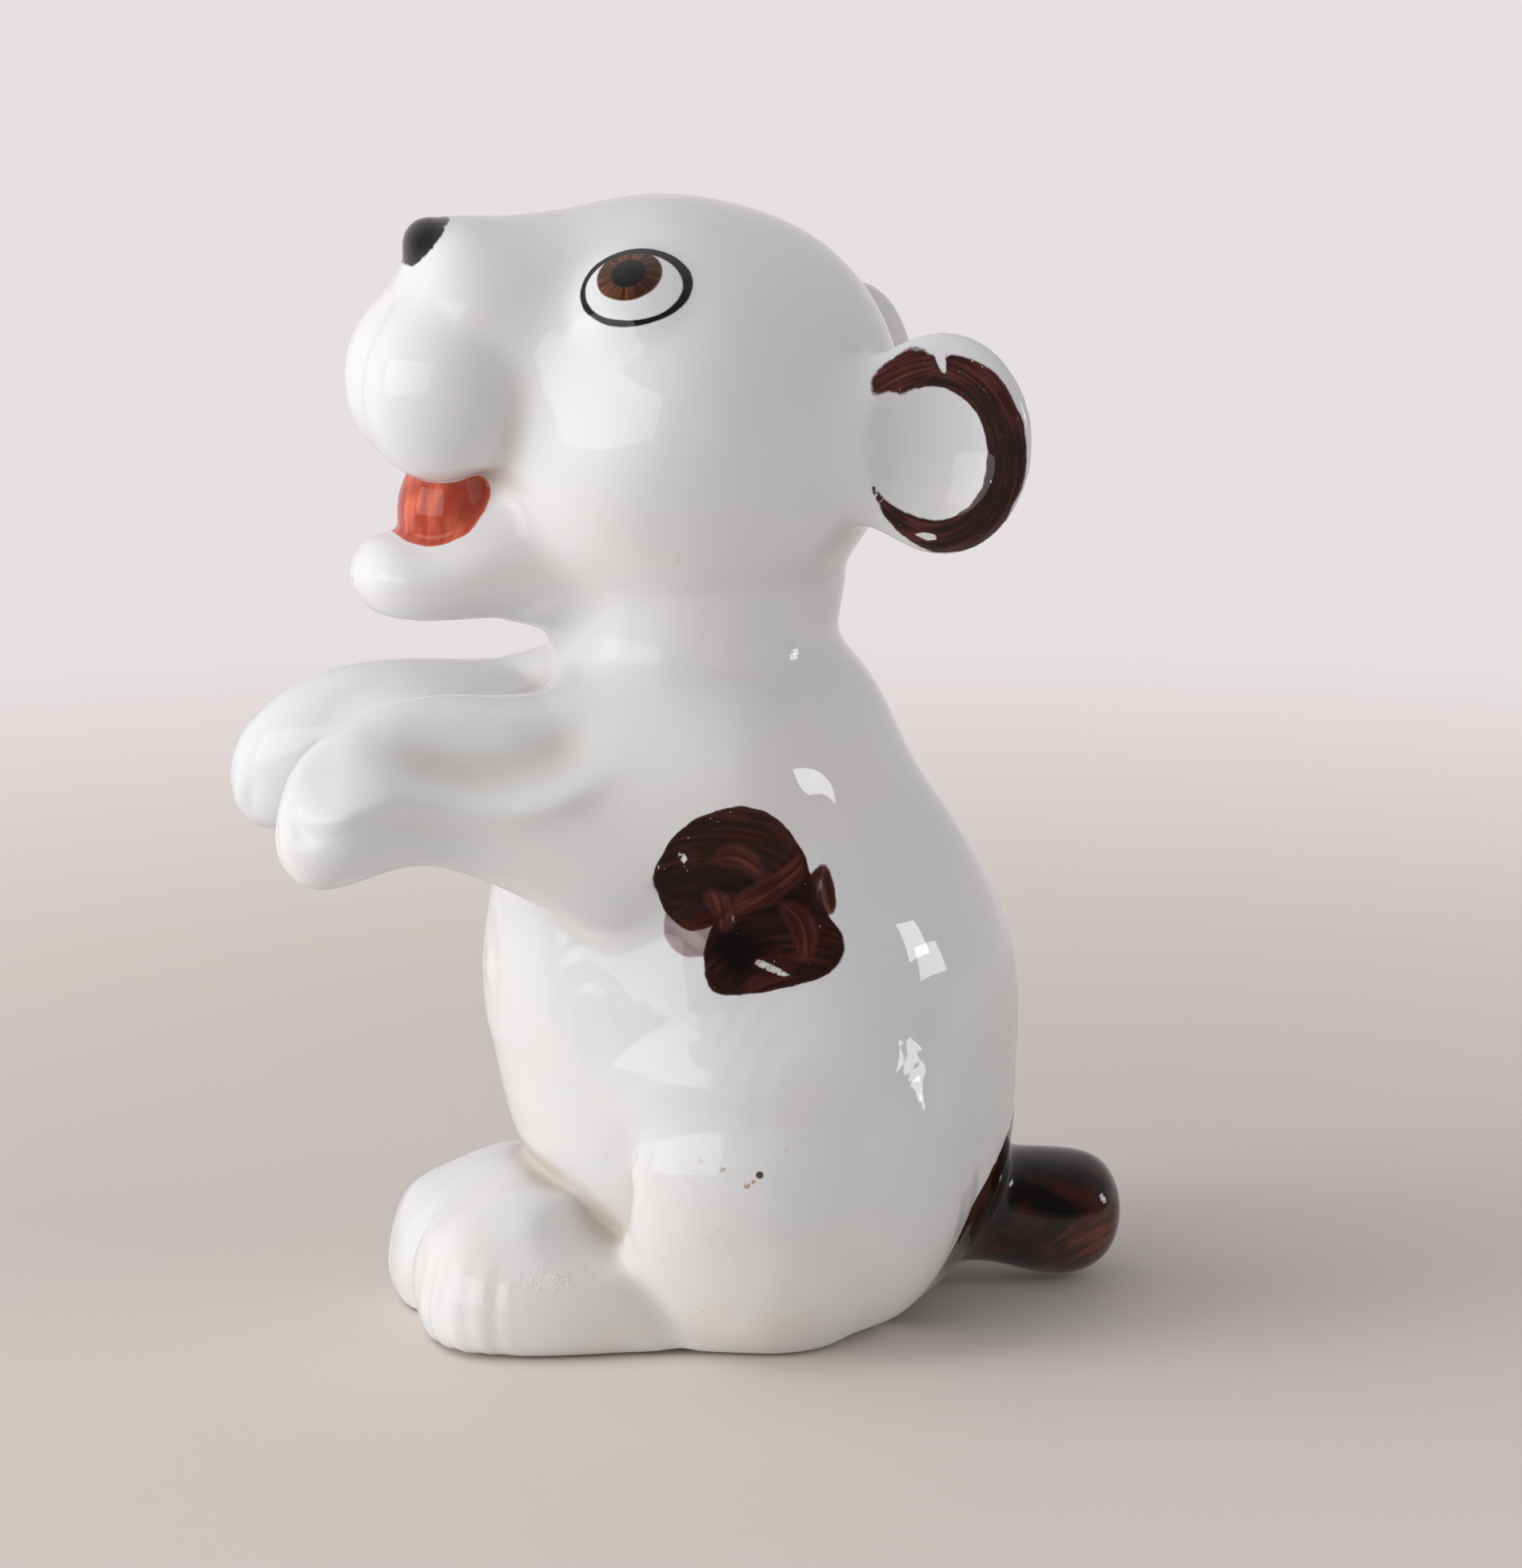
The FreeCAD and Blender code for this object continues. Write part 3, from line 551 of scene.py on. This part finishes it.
def rump_paint(points, fields):
    """The painted tail with a broad patch of the rump round it, which narrows upward."""
    rump_radius = 15.0
    turned = np.arctan2(points[:, 0], points[:, 1] - 1.0) * rump_radius
    reach = np.hypot(turned / 13.6, points[:, 2] / 17.0)
    edge = np.minimum((reach - 1) * 13.6, sample(fields["tail"], points) - 0.4)
    end = corners("tail")[1][1]
    red, red_along, red_aside = dab(points[:, 1], points[:, 2], (end - 3.6, 3.4), (4.4, 2.7), 28, 0.05)
    red = np.maximum(red, np.where(points[:, 1] < end - 9, UNPAINTED, edge + 0.3))
    return {
        "rump": ("rump", edge, points[:, 2] + 0.3 * points[:, 1], turned),
        "rump_red": ("red", red, red_along, red_aside),
    }


def ear_paint(points, normals, side):
    """A crescent of brown round the back of the cup, and a short feathered stroke over its front."""
    sign = SIDES[side]
    low, high = corners(f"{side}_ear")
    out = np.array([sign * math.cos(EAR_YAW), -math.sin(EAR_YAW), 0.0])
    back = np.array([sign * math.sin(EAR_YAW), math.cos(EAR_YAW), 0.0])
    centre = (low + high) / 2 + 0.4 * back
    across, up, depth = facing(points, centre, out, back)
    inner = dab(across, up, (-0.35, -0.7), (4.1, 5.0))[0]
    outer = dab(across, up, (0.7, -0.6), (5.9, 7.5))[0]
    # the crescent lies between the two ovals, and ends where the angle from the front says
    angle = np.arctan2(up + 0.7, -across)
    along = np.arctan2(up + 0.7, across) * 5.5
    behind = np.clip((-0.05 - normals @ out) * 6.0, -UNPAINTED, UNPAINTED)
    behind = np.where(depth < -2.2, UNPAINTED, behind)
    notch = -line_gap(across, up, (-0.5, 8.4), (0.5, 5.5), 0.32)
    front = np.where(across < 0, 4.5 * np.sin(np.clip(1.25 - angle, -1.5, 1.5)), -UNPAINTED)
    tip = np.where(across < 0, 4.5 * np.sin(np.clip(0.42 + angle, -1.5, 1.5)), -UNPAINTED)
    front = np.where(up > -0.7, front, tip)
    taper = np.where((across < 0) & (up < -0.7), 0.8 * np.clip((1.15 + angle) / 0.8, 0, 1) ** 2, 0)
    crescent = np.max([outer, taper - inner, front, behind, notch], axis=0)
    missed = line_gap(across, up, (-1.5, -6.7), (0.2, -7.0), 0.22)
    crescent = np.maximum(crescent, -missed)
    feather, feather_along, feather_aside = dab(across, up, (-2.6, 5.3), (2.6, 1.4), 24, 0.06)
    feather = np.max([feather, -inner, behind], axis=0)
    return {
        f"{side}_ear_crescent": ("ear", crescent, along, inner),
        f"{side}_ear_feather": ("feather", feather, feather_along, feather_aside),
    }


def eye_paint(points, side):
    """The lid line, the brown iris and the pupil."""
    dome = mesh_arrays(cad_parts[f"{side}_eye"])[0]
    out = dome.mean(axis=0) - HEAD_AT
    out /= np.linalg.norm(out)
    centre = HEAD_AT + out * ((dome - HEAD_AT) @ out).max()
    across, up, depth = facing(points, centre, out, BACKWARD)
    behind = np.where(depth < -4, UNPAINTED, -UNPAINTED)
    rim, _, aside = dab(across, up, (0.0, 0.0), (3.9, 3.2), 14)
    rim = np.maximum(rim, behind)
    breadth = 0.21 + 0.15 * np.sin(np.clip(np.arctan2(up, across) + 0.2, 0, math.pi))
    gaze = (-0.45, 0.75)
    iris = np.maximum(dab(across, up, gaze, (2.45, 2.45))[0], rim)
    pupil, pupil_along, pupil_aside = dab(across, up, gaze, (1.3, 1.35))
    spokes = np.arctan2(up - gaze[1], across - gaze[0]) * 3.0
    return {
        f"{side}_iris": ("iris", iris, iris, spokes),
        f"{side}_pupil": ("pupil", np.maximum(pupil, rim), pupil_along, pupil_aside),
        f"{side}_lid": ("lid", rim, breadth, aside),
    }


def face_paint(points, fields):
    """The black nose and the red mouth."""
    nose = sample(fields["nose"], points) - 0.25
    mouth = sample(fields["tongue"], points) - 0.55
    return {
        "nose": ("nose", nose, points[:, 0], points[:, 1]),
        "mouth": ("mouth", mouth, points[:, 2], points[:, 0] + 0.4 * points[:, 1]),
    }


def paint_layers(points, normals, fields):
    """Every stroke that touches a piece: its look, how far outside it is, and along and across it."""
    layers = {**flank_paint(points), **rump_paint(points, fields)}
    for side in SIDES:
        layers.update(ear_paint(points, normals, side))
        layers.update(eye_paint(points, side))
    layers.update(face_paint(points, fields))
    return {name: layer for name, layer in layers.items() if layer[1].min() < 0.6}


# ---- materials --------------------------------------------------------------------------------------

COOL_WHITE = (0.755, 0.765, 0.785)
WARM_WHITE = (0.79, 0.78, 0.775)
# the tint of the hollows: glaze that pooled there, deepened into painted shade
POOLED_GLAZE_AND_SHADE = (0.62, 0.56, 0.50)
TOASTED = (0.74, 0.68, 0.60)
OCHRE = (0.45, 0.25, 0.09)
IRON = (0.42, 0.22, 0.12)
PINHOLE = (0.10, 0.06, 0.05)
BISCUIT = (0.72, 0.66, 0.58)
STAIN_AT = np.array([21.0, -6.0, 15.0])  # a freckled place on the left thigh
PIN_AT = (0.0, -4.9, 15.8)  # along and up of the pinhole in it
# middle and spread of the places where the glaze crawled: a foot's ridge, and the side of the tail
CRAWLS = ((13.5, -19.0, 6.6), (2.5, 5.0, 1.0)), ((3.8, 24.5, 7.0), (2.5, 4.5, 2.0))
RELIEF = 0.012  # millimetres by which a stroke of enamel and the waves of the glaze stand out


def add_node(tree, kind, values, **settings):
    """A node with its settings, and with each named input set or linked."""
    made = tree.nodes.new(kind)
    for name, value in settings.items():
        setattr(made, name, value)
    for name, value in values.items():
        if isinstance(value, bpy.types.NodeSocket):
            tree.links.new(value, made.inputs[name])
        else:
            made.inputs[name].default_value = value
    return made


def maths(tree, operation, one, other=0.0):
    """One operation on two numbers."""
    return add_node(tree, "ShaderNodeMath", {0: one, 1: other}, operation=operation).outputs[0]


def scaled(tree, vector, factor):
    """A vector times a number."""
    values = {0: vector, "Scale": factor}
    return add_node(tree, "ShaderNodeVectorMath", values, operation="SCALE").outputs[0]


def stepped(tree, value, start, end):
    """From 0 at start to 1 at end, with soft ends."""
    values = {"Value": value, "From Min": start, "From Max": end}
    made = add_node(tree, "ShaderNodeMapRange", values, interpolation_type="SMOOTHSTEP")
    return made.outputs["Result"]


def mixed(tree, share, one, other, blend="MIX"):
    """A colour between two, or one laid over the other by another blend."""
    values = {0: share, 6: one, 7: other}
    return add_node(tree, "ShaderNodeMix", values, data_type="RGBA", blend_type=blend).outputs[2]


def noise(tree, vector, scale, detail=2.0):
    """Cloudy noise from 0 to 1, with a scale per millimetre."""
    values = {"Vector": vector, "Scale": scale, "Detail": detail}
    return add_node(tree, "ShaderNodeTexNoise", values).outputs["Fac"]


def opaque(colour):
    """The colour with the alpha that a socket wants."""
    return (*colour, 1.0)


def specks(tree, place, pitch, share, radius):
    """Uneven spots in a few of the cells of a lattice of that pitch."""
    shift = add_node(tree, "ShaderNodeTexNoise", {"Vector": place, "Scale": 3.0}).outputs["Color"]
    shift = scaled(tree, shift, 0.5)
    moved = add_node(tree, "ShaderNodeVectorMath", {0: place, 1: shift}, operation="ADD").outputs[0]
    cell = add_node(tree, "ShaderNodeTexVoronoi", {"Vector": moved, "Scale": 1 / pitch})
    chance = add_node(tree, "ShaderNodeSeparateColor", {"Color": cell.outputs["Color"]})
    chosen = stepped(tree, chance.outputs[0], share, share * 0.9)
    spread = maths(tree, "MULTIPLY", chance.outputs[1], radius / pitch)
    spot = maths(tree, "SUBTRACT", cell.outputs["Distance"], spread)
    return maths(tree, "MULTIPLY", chosen, stepped(tree, spot, 0.05 / pitch, -0.05 / pitch))


def glazed_white(tree, place):
    """The white glaze: darker and browner in the hollows, partly as pooled glaze and partly as painted
    shade, warm low down, with a few iron specks and pinholes.

    It returns the colour, where the clay is bare, and where the pinholes are.
    """
    cloud = stepped(tree, noise(tree, place, 0.055), 0.35, 0.65)
    colour = mixed(tree, cloud, opaque(COOL_WHITE), opaque(WARM_WHITE))
    crease = add_node(tree, "ShaderNodeAttribute", {}, attribute_name="crease").outputs["Fac"]
    # the hollows go darker and browner, partly pooled glaze and partly painted shade
    colour = mixed(tree, stepped(tree, crease, 0.08, 0.7), colour, opaque(POOLED_GLAZE_AND_SHADE))
    _, along, height = add_node(tree, "ShaderNodeSeparateXYZ", {"Vector": place}).outputs
    patches = stepped(tree, noise(tree, place, 0.16), 0.4, 0.75)
    low = maths(tree, "MULTIPLY", stepped(tree, height, 16, 0), patches)
    colour = mixed(tree, maths(tree, "MULTIPLY", low, 0.5), colour, opaque(TOASTED))
    stain = add_node(tree, "ShaderNodeAttribute", {}, attribute_name="stain").outputs["Fac"]
    ochre = maths(tree, "MULTIPLY", specks(tree, place, 0.8, 0.5, 0.24), stain)
    iron = specks(tree, place, 4.3, 0.10, 0.34)
    colour = mixed(tree, maths(tree, "MULTIPLY", ochre, 0.8), colour, opaque(OCHRE))
    colour = mixed(tree, maths(tree, "MULTIPLY", iron, 0.7), colour, opaque(IRON))
    beside = add_node(tree, "ShaderNodeCombineXYZ", {1: along, 2: height}).outputs[0]
    pin = add_node(tree, "ShaderNodeVectorMath", {0: beside, 1: PIN_AT}, operation="DISTANCE")
    pin = stepped(tree, pin.outputs["Value"], 0.34, 0.20)
    pin = maths(tree, "MULTIPLY", pin, stepped(tree, stain, 0.2, 0.4))
    holes = maths(tree, "MAXIMUM", specks(tree, place, 7.0, 0.06, 0.26), pin)
    colour = mixed(tree, holes, colour, opaque(PINHOLE))
    bare = stepped(tree, height, 0.30, 0.12)
    return mixed(tree, bare, colour, opaque(BISCUIT)), bare, holes


def painted(tree, colour, place, name, look):
    """A brushed stroke of enamel over a colour, and where it covers."""
    stroke = add_node(tree, "ShaderNodeAttribute", {}, attribute_name=name).outputs["Vector"]
    split = add_node(tree, "ShaderNodeSeparateXYZ", {"Vector": stroke})
    edge, along, aside = split.outputs
    swell = maths(tree, "SUBTRACT", noise(tree, place, 0.42, 1.0), 0.5)
    nicks = maths(tree, "SUBTRACT", noise(tree, place, 2.4, 2.0), 0.5)
    rough = maths(tree, "ADD", maths(tree, "MULTIPLY", swell, 6.0), nicks)
    if name.endswith(LINES):  # here the attribute's second value is the line's half breadth
        edge = maths(tree, "SUBTRACT", maths(tree, "ABSOLUTE", edge), along)
    edge = maths(tree, "ADD", edge, maths(tree, "MULTIPLY", rough, look.ragged))
    cover = stepped(tree, edge, look.soft, -look.soft)
    along, aside = maths(tree, "MULTIPLY", along, 0.16), maths(tree, "MULTIPLY", aside, look.streaks)
    bristles = add_node(tree, "ShaderNodeCombineXYZ", {0: along, 1: aside}).outputs[0]
    fine = noise(tree, bristles, 1.0, 4.0)
    broad = noise(tree, place, 0.32, 1.0)
    tone = maths(tree, "ADD", maths(tree, "MULTIPLY", fine, 0.65), maths(tree, "MULTIPLY", broad, 0.35))
    thin = stepped(tree, tone, 0.44, 0.64)
    rim = maths(tree, "MULTIPLY", stepped(tree, edge, -0.30, -0.05), 0.35)
    thin = maths(tree, "MAXIMUM", thin, rim)
    enamel = mixed(tree, thin, opaque(look.thick), opaque(look.thin))
    if look.flecks:
        bare = stepped(tree, noise(tree, place, 2.6, 2.0), 0.72, 0.76)
        near = stepped(tree, edge, -1.6, -0.2)
        missed = maths(tree, "MULTIPLY", bare, near)
        cover = maths(tree, "MULTIPLY", cover, maths(tree, "SUBTRACT", 1.0, missed))
    return mixed(tree, cover, colour, enamel, look.blend), cover


def glaze(name, layers):
    """The glaze of one piece, with the strokes that touch it."""
    material = bpy.data.materials.new(f"glaze_{name}")
    material.use_nodes = True
    tree = material.node_tree
    shader = tree.nodes["Principled BSDF"]
    where = add_node(tree, "ShaderNodeTexCoord", {}).outputs["Object"]
    place = scaled(tree, where, MM)
    colour, bare, holes = glazed_white(tree, place)
    relief = maths(tree, "MULTIPLY", noise(tree, place, 0.35, 1.0), RELIEF)
    relief = maths(tree, "SUBTRACT", relief, maths(tree, "MULTIPLY", holes, 0.08))
    crawl = add_node(tree, "ShaderNodeAttribute", {}, attribute_name="crawl").outputs["Fac"]
    lumps = maths(tree, "MULTIPLY", stepped(tree, noise(tree, place, 1.3, 2.0), 0.5, 0.62), 0.05)
    relief = maths(tree, "ADD", relief, maths(tree, "MULTIPLY", lumps, crawl))
    for layer, (look, *_) in layers.items():
        colour, cover = painted(tree, colour, place, layer, LOOKS[look])
        relief = maths(tree, "ADD", relief, maths(tree, "MULTIPLY", cover, RELIEF))
    bump = add_node(tree, "ShaderNodeBump", {"Height": relief, "Strength": 1.0, "Distance": 1 / MM})
    tree.links.new(colour, shader.inputs["Base Color"])
    tree.links.new(bump.outputs[0], shader.inputs["Normal"])
    # the coat alone mirrors, so this is only how dull the body under it is, and bare clay is duller
    gloss = stepped(tree, noise(tree, place, 0.25), 0.2, 0.8)
    rough = maths(tree, "ADD", maths(tree, "MULTIPLY", gloss, 0.10), 0.30)
    rough = maths(tree, "ADD", rough, maths(tree, "MULTIPLY", bare, 0.5))
    tree.links.new(rough, shader.inputs["Roughness"])
    shader.inputs["Specular IOR Level"].default_value = 0.0
    shader.inputs["Coat Weight"].default_value = 1.0
    shader.inputs["Coat Roughness"].default_value = 0.03
    shader.inputs["Coat IOR"].default_value = 1.5
    return material


def write_attributes(mesh, points, pooling_and_shade, layers):
    """What the glaze's nodes read at each point of a piece."""
    stain = np.exp(-(((points - STAIN_AT) / 3.4) ** 2).sum(axis=1))
    crawl = sum(np.exp(-(((points - middle) / spread) ** 2).sum(axis=1)) for middle, spread in CRAWLS)
    for name, values in (("crease", pooling_and_shade), ("stain", stain), ("crawl", crawl)):
        mesh.attributes.new(name, "FLOAT", "POINT").data.foreach_set("value", values.astype(np.float32))
    for name, (_, edge, along, aside) in layers.items():
        edge = np.clip(edge, -UNPAINTED, UNPAINTED)
        stroke = np.stack([edge, along, aside], axis=1).astype(np.float32)
        mesh.attributes.new(name, "FLOAT_VECTOR", "POINT").data.foreach_set("vector", stroke.ravel())


# ---- the puppy ---------------------------------------------------------------------------------------


def make_puppy():
    """The fourteen glazed pieces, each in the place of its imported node."""
    fields = pieces_fields()
    skin = shaped_skin(fields)
    # how deep each point lies in a hollow, for the pooled glaze and the painted shade there
    hollows = blurred(skin, 1.6)
    points, normals, quads = surface(skin)
    labels = part_skin(list(fields), fields, points, quads)
    for i, name in enumerate(fields):
        piece, spots, shade = make_piece(name, points, normals, quads[labels == i], skin)
        layers = paint_layers(spots, shade, fields)
        write_attributes(piece.data, spots, -sample(hollows, spots), layers)
        piece.data.materials.append(glaze(name, layers))


make_puppy()

# ---- camera, lights, floor ---------------------------------------------------------------------------

AZIMUTH, ELEVATION = math.radians(76), math.radians(12)
DISTANCE = 500.0
FRAME_WIDE = 117.1  # width of the view at the puppy
SENSOR = 36.0
LOOK_AT = (0.0, 0.4, 41.0)
DIM_SIDE = (0.97, -0.24, 0.0)  # the level direction in which the studio is dim
BACKDROP = (0.80, 0.74, 0.765)
FLOOR_NEAR = (0.80, 0.735, 0.69)
WORLD_LIGHT = (0.80, 0.79, 0.80)
LAMPS = {  # place, size, watts, and whether the glaze mirrors it
    "window": ((272, -535, 155), (760, 300), 1.1, True),
    "front": ((20, -620, 90), (300, 340), 2.1, False),
    "side": ((600, -230, 70), (300, 300), 0.2, False),
    "high_slit": ((270, 640, 180), (110, 110), 0.24, True),
    "low_slit": ((230, 660, 110), (110, 90), 0.17, True),
    "overhead": ((-60, -360, 660), (420, 420), 1.4, False),
    "behind": ((420, 480, 420), (420, 420), 0.6, False),
}
LAMPS_AIM = (0.0, 0.0, 45.0)


def add_camera():
    """The camera, at the angle from which the photograph was taken."""
    level = math.cos(ELEVATION)
    towards = Vector((math.sin(AZIMUTH) * level, -math.cos(AZIMUTH) * level, math.sin(ELEVATION)))
    data = bpy.data.cameras.new("camera")
    data.sensor_fit = "HORIZONTAL"
    data.sensor_width = SENSOR
    data.lens = SENSOR * DISTANCE / FRAME_WIDE
    data.clip_start = 0.01
    camera = bpy.data.objects.new("camera", data)
    camera.location = (Vector(LOOK_AT) + towards * DISTANCE) / MM
    camera.rotation_euler = (-towards).to_track_quat("-Z", "Y").to_euler()
    bpy.context.collection.objects.link(camera)
    bpy.context.scene.camera = camera


def add_lamp(name, spot, size, power, mirrored):
    """A soft lamp aimed at the puppy."""
    data = bpy.data.lights.new(name, "AREA")
    data.shape = "RECTANGLE"
    data.size, data.size_y = (s / MM for s in size)
    data.energy = power
    lamp = bpy.data.objects.new(name, data)
    lamp.location = Vector(spot) / MM
    lamp.rotation_euler = (Vector(LAMPS_AIM) - Vector(spot)).to_track_quat("-Z", "Y").to_euler()
    lamp.visible_glossy = mirrored
    bpy.context.collection.objects.link(lamp)


def add_floor():
    """A plain pale floor, warmer near the puppy, that keeps its shadow.

    Far off it glows in the backdrop's colour, and reflections see it dim on the dim side.
    """
    half = 5.0  # metres
    corners_of_floor = [(-half, -half, 0), (half, -half, 0), (half, half, 0), (-half, half, 0)]
    mesh = bpy.data.meshes.new("floor")
    mesh.from_pydata(corners_of_floor, [], [(0, 1, 2, 3)])
    floor = bpy.data.objects.new("floor", mesh)
    bpy.context.collection.objects.link(floor)
    material = bpy.data.materials.new("floor")
    material.use_nodes = True
    tree = material.node_tree
    place = add_node(tree, "ShaderNodeTexCoord", {}).outputs["Object"]
    away = add_node(tree, "ShaderNodeVectorMath", {0: place}, operation="LENGTH").outputs["Value"]
    far = stepped(tree, away, 0.12, 0.34)
    colour = mixed(tree, far, opaque(FLOOR_NEAR), opaque(BACKDROP))
    shader = tree.nodes["Principled BSDF"]
    tree.links.new(colour, shader.inputs["Base Color"])
    shader.inputs["Roughness"].default_value = 0.6
    shader.inputs["Specular IOR Level"].default_value = 0.2
    ray = add_node(tree, "ShaderNodeLightPath", {})
    seen = maths(tree, "MAXIMUM", ray.outputs["Is Camera Ray"], ray.outputs["Is Glossy Ray"])
    seen = maths(tree, "MAXIMUM", seen, ray.outputs["Is Transmission Ray"])
    share = maths(tree, "MULTIPLY", seen, stepped(tree, away, 0.03, 0.30))
    ahead = add_node(tree, "ShaderNodeVectorMath", {0: place, 1: DIM_SIDE}, operation="DOT_PRODUCT")
    dim = stepped(tree, ahead.outputs["Value"], -0.02, 0.05)
    dim = maths(tree, "MULTIPLY", ray.outputs["Is Glossy Ray"], dim)
    share = maths(tree, "MAXIMUM", share, dim)
    power = maths(tree, "SUBTRACT", 1.0, maths(tree, "MULTIPLY", dim, 0.75))
    glow = add_node(tree, "ShaderNodeEmission", {"Color": colour, "Strength": power})
    blend = add_node(tree, "ShaderNodeMixShader", {0: share, 1: shader.outputs[0], 2: glow.outputs[0]})
    tree.links.new(blend.outputs[0], tree.nodes["Material Output"].inputs["Surface"])
    mesh.materials.append(material)


def add_world():
    """Even soft light before the backdrop, in a room that is dim on one side where glaze mirrors it."""
    world = bpy.data.worlds.new("studio")
    world.use_nodes = True
    tree = world.node_tree
    light = tree.nodes["Background"]
    light.inputs["Color"].default_value = opaque(WORLD_LIGHT)
    light.inputs["Strength"].default_value = 0.34
    backdrop = add_node(tree, "ShaderNodeBackground", {"Color": opaque(BACKDROP), "Strength": 1.0})
    where = add_node(tree, "ShaderNodeTexCoord", {}).outputs["Generated"]
    ahead = add_node(tree, "ShaderNodeVectorMath", {0: where, 1: DIM_SIDE}, operation="DOT_PRODUCT")
    dim = stepped(tree, ahead.outputs["Value"], -0.7, 0.7)
    power = maths(tree, "SUBTRACT", 1.0, maths(tree, "MULTIPLY", dim, 0.86))
    room = add_node(tree, "ShaderNodeBackground", {"Color": opaque(BACKDROP), "Strength": power})
    ray = add_node(tree, "ShaderNodeLightPath", {})
    blend = {0: ray.outputs["Is Glossy Ray"], 1: light.outputs[0], 2: room.outputs[0]}
    blend = add_node(tree, "ShaderNodeMixShader", blend)
    seen = maths(tree, "MAXIMUM", ray.outputs["Is Camera Ray"], ray.outputs["Is Transmission Ray"])
    blend = add_node(tree, "ShaderNodeMixShader", {0: seen, 1: blend.outputs[0], 2: backdrop.outputs[0]})
    tree.links.new(blend.outputs[0], tree.nodes["World Output"].inputs["Surface"])
    bpy.context.scene.world = world


add_camera()
for lamp_name, settings in LAMPS.items():
    add_lamp(lamp_name, *settings)
add_world()
add_floor()
bpy.context.scene.view_settings.view_transform = "Standard"
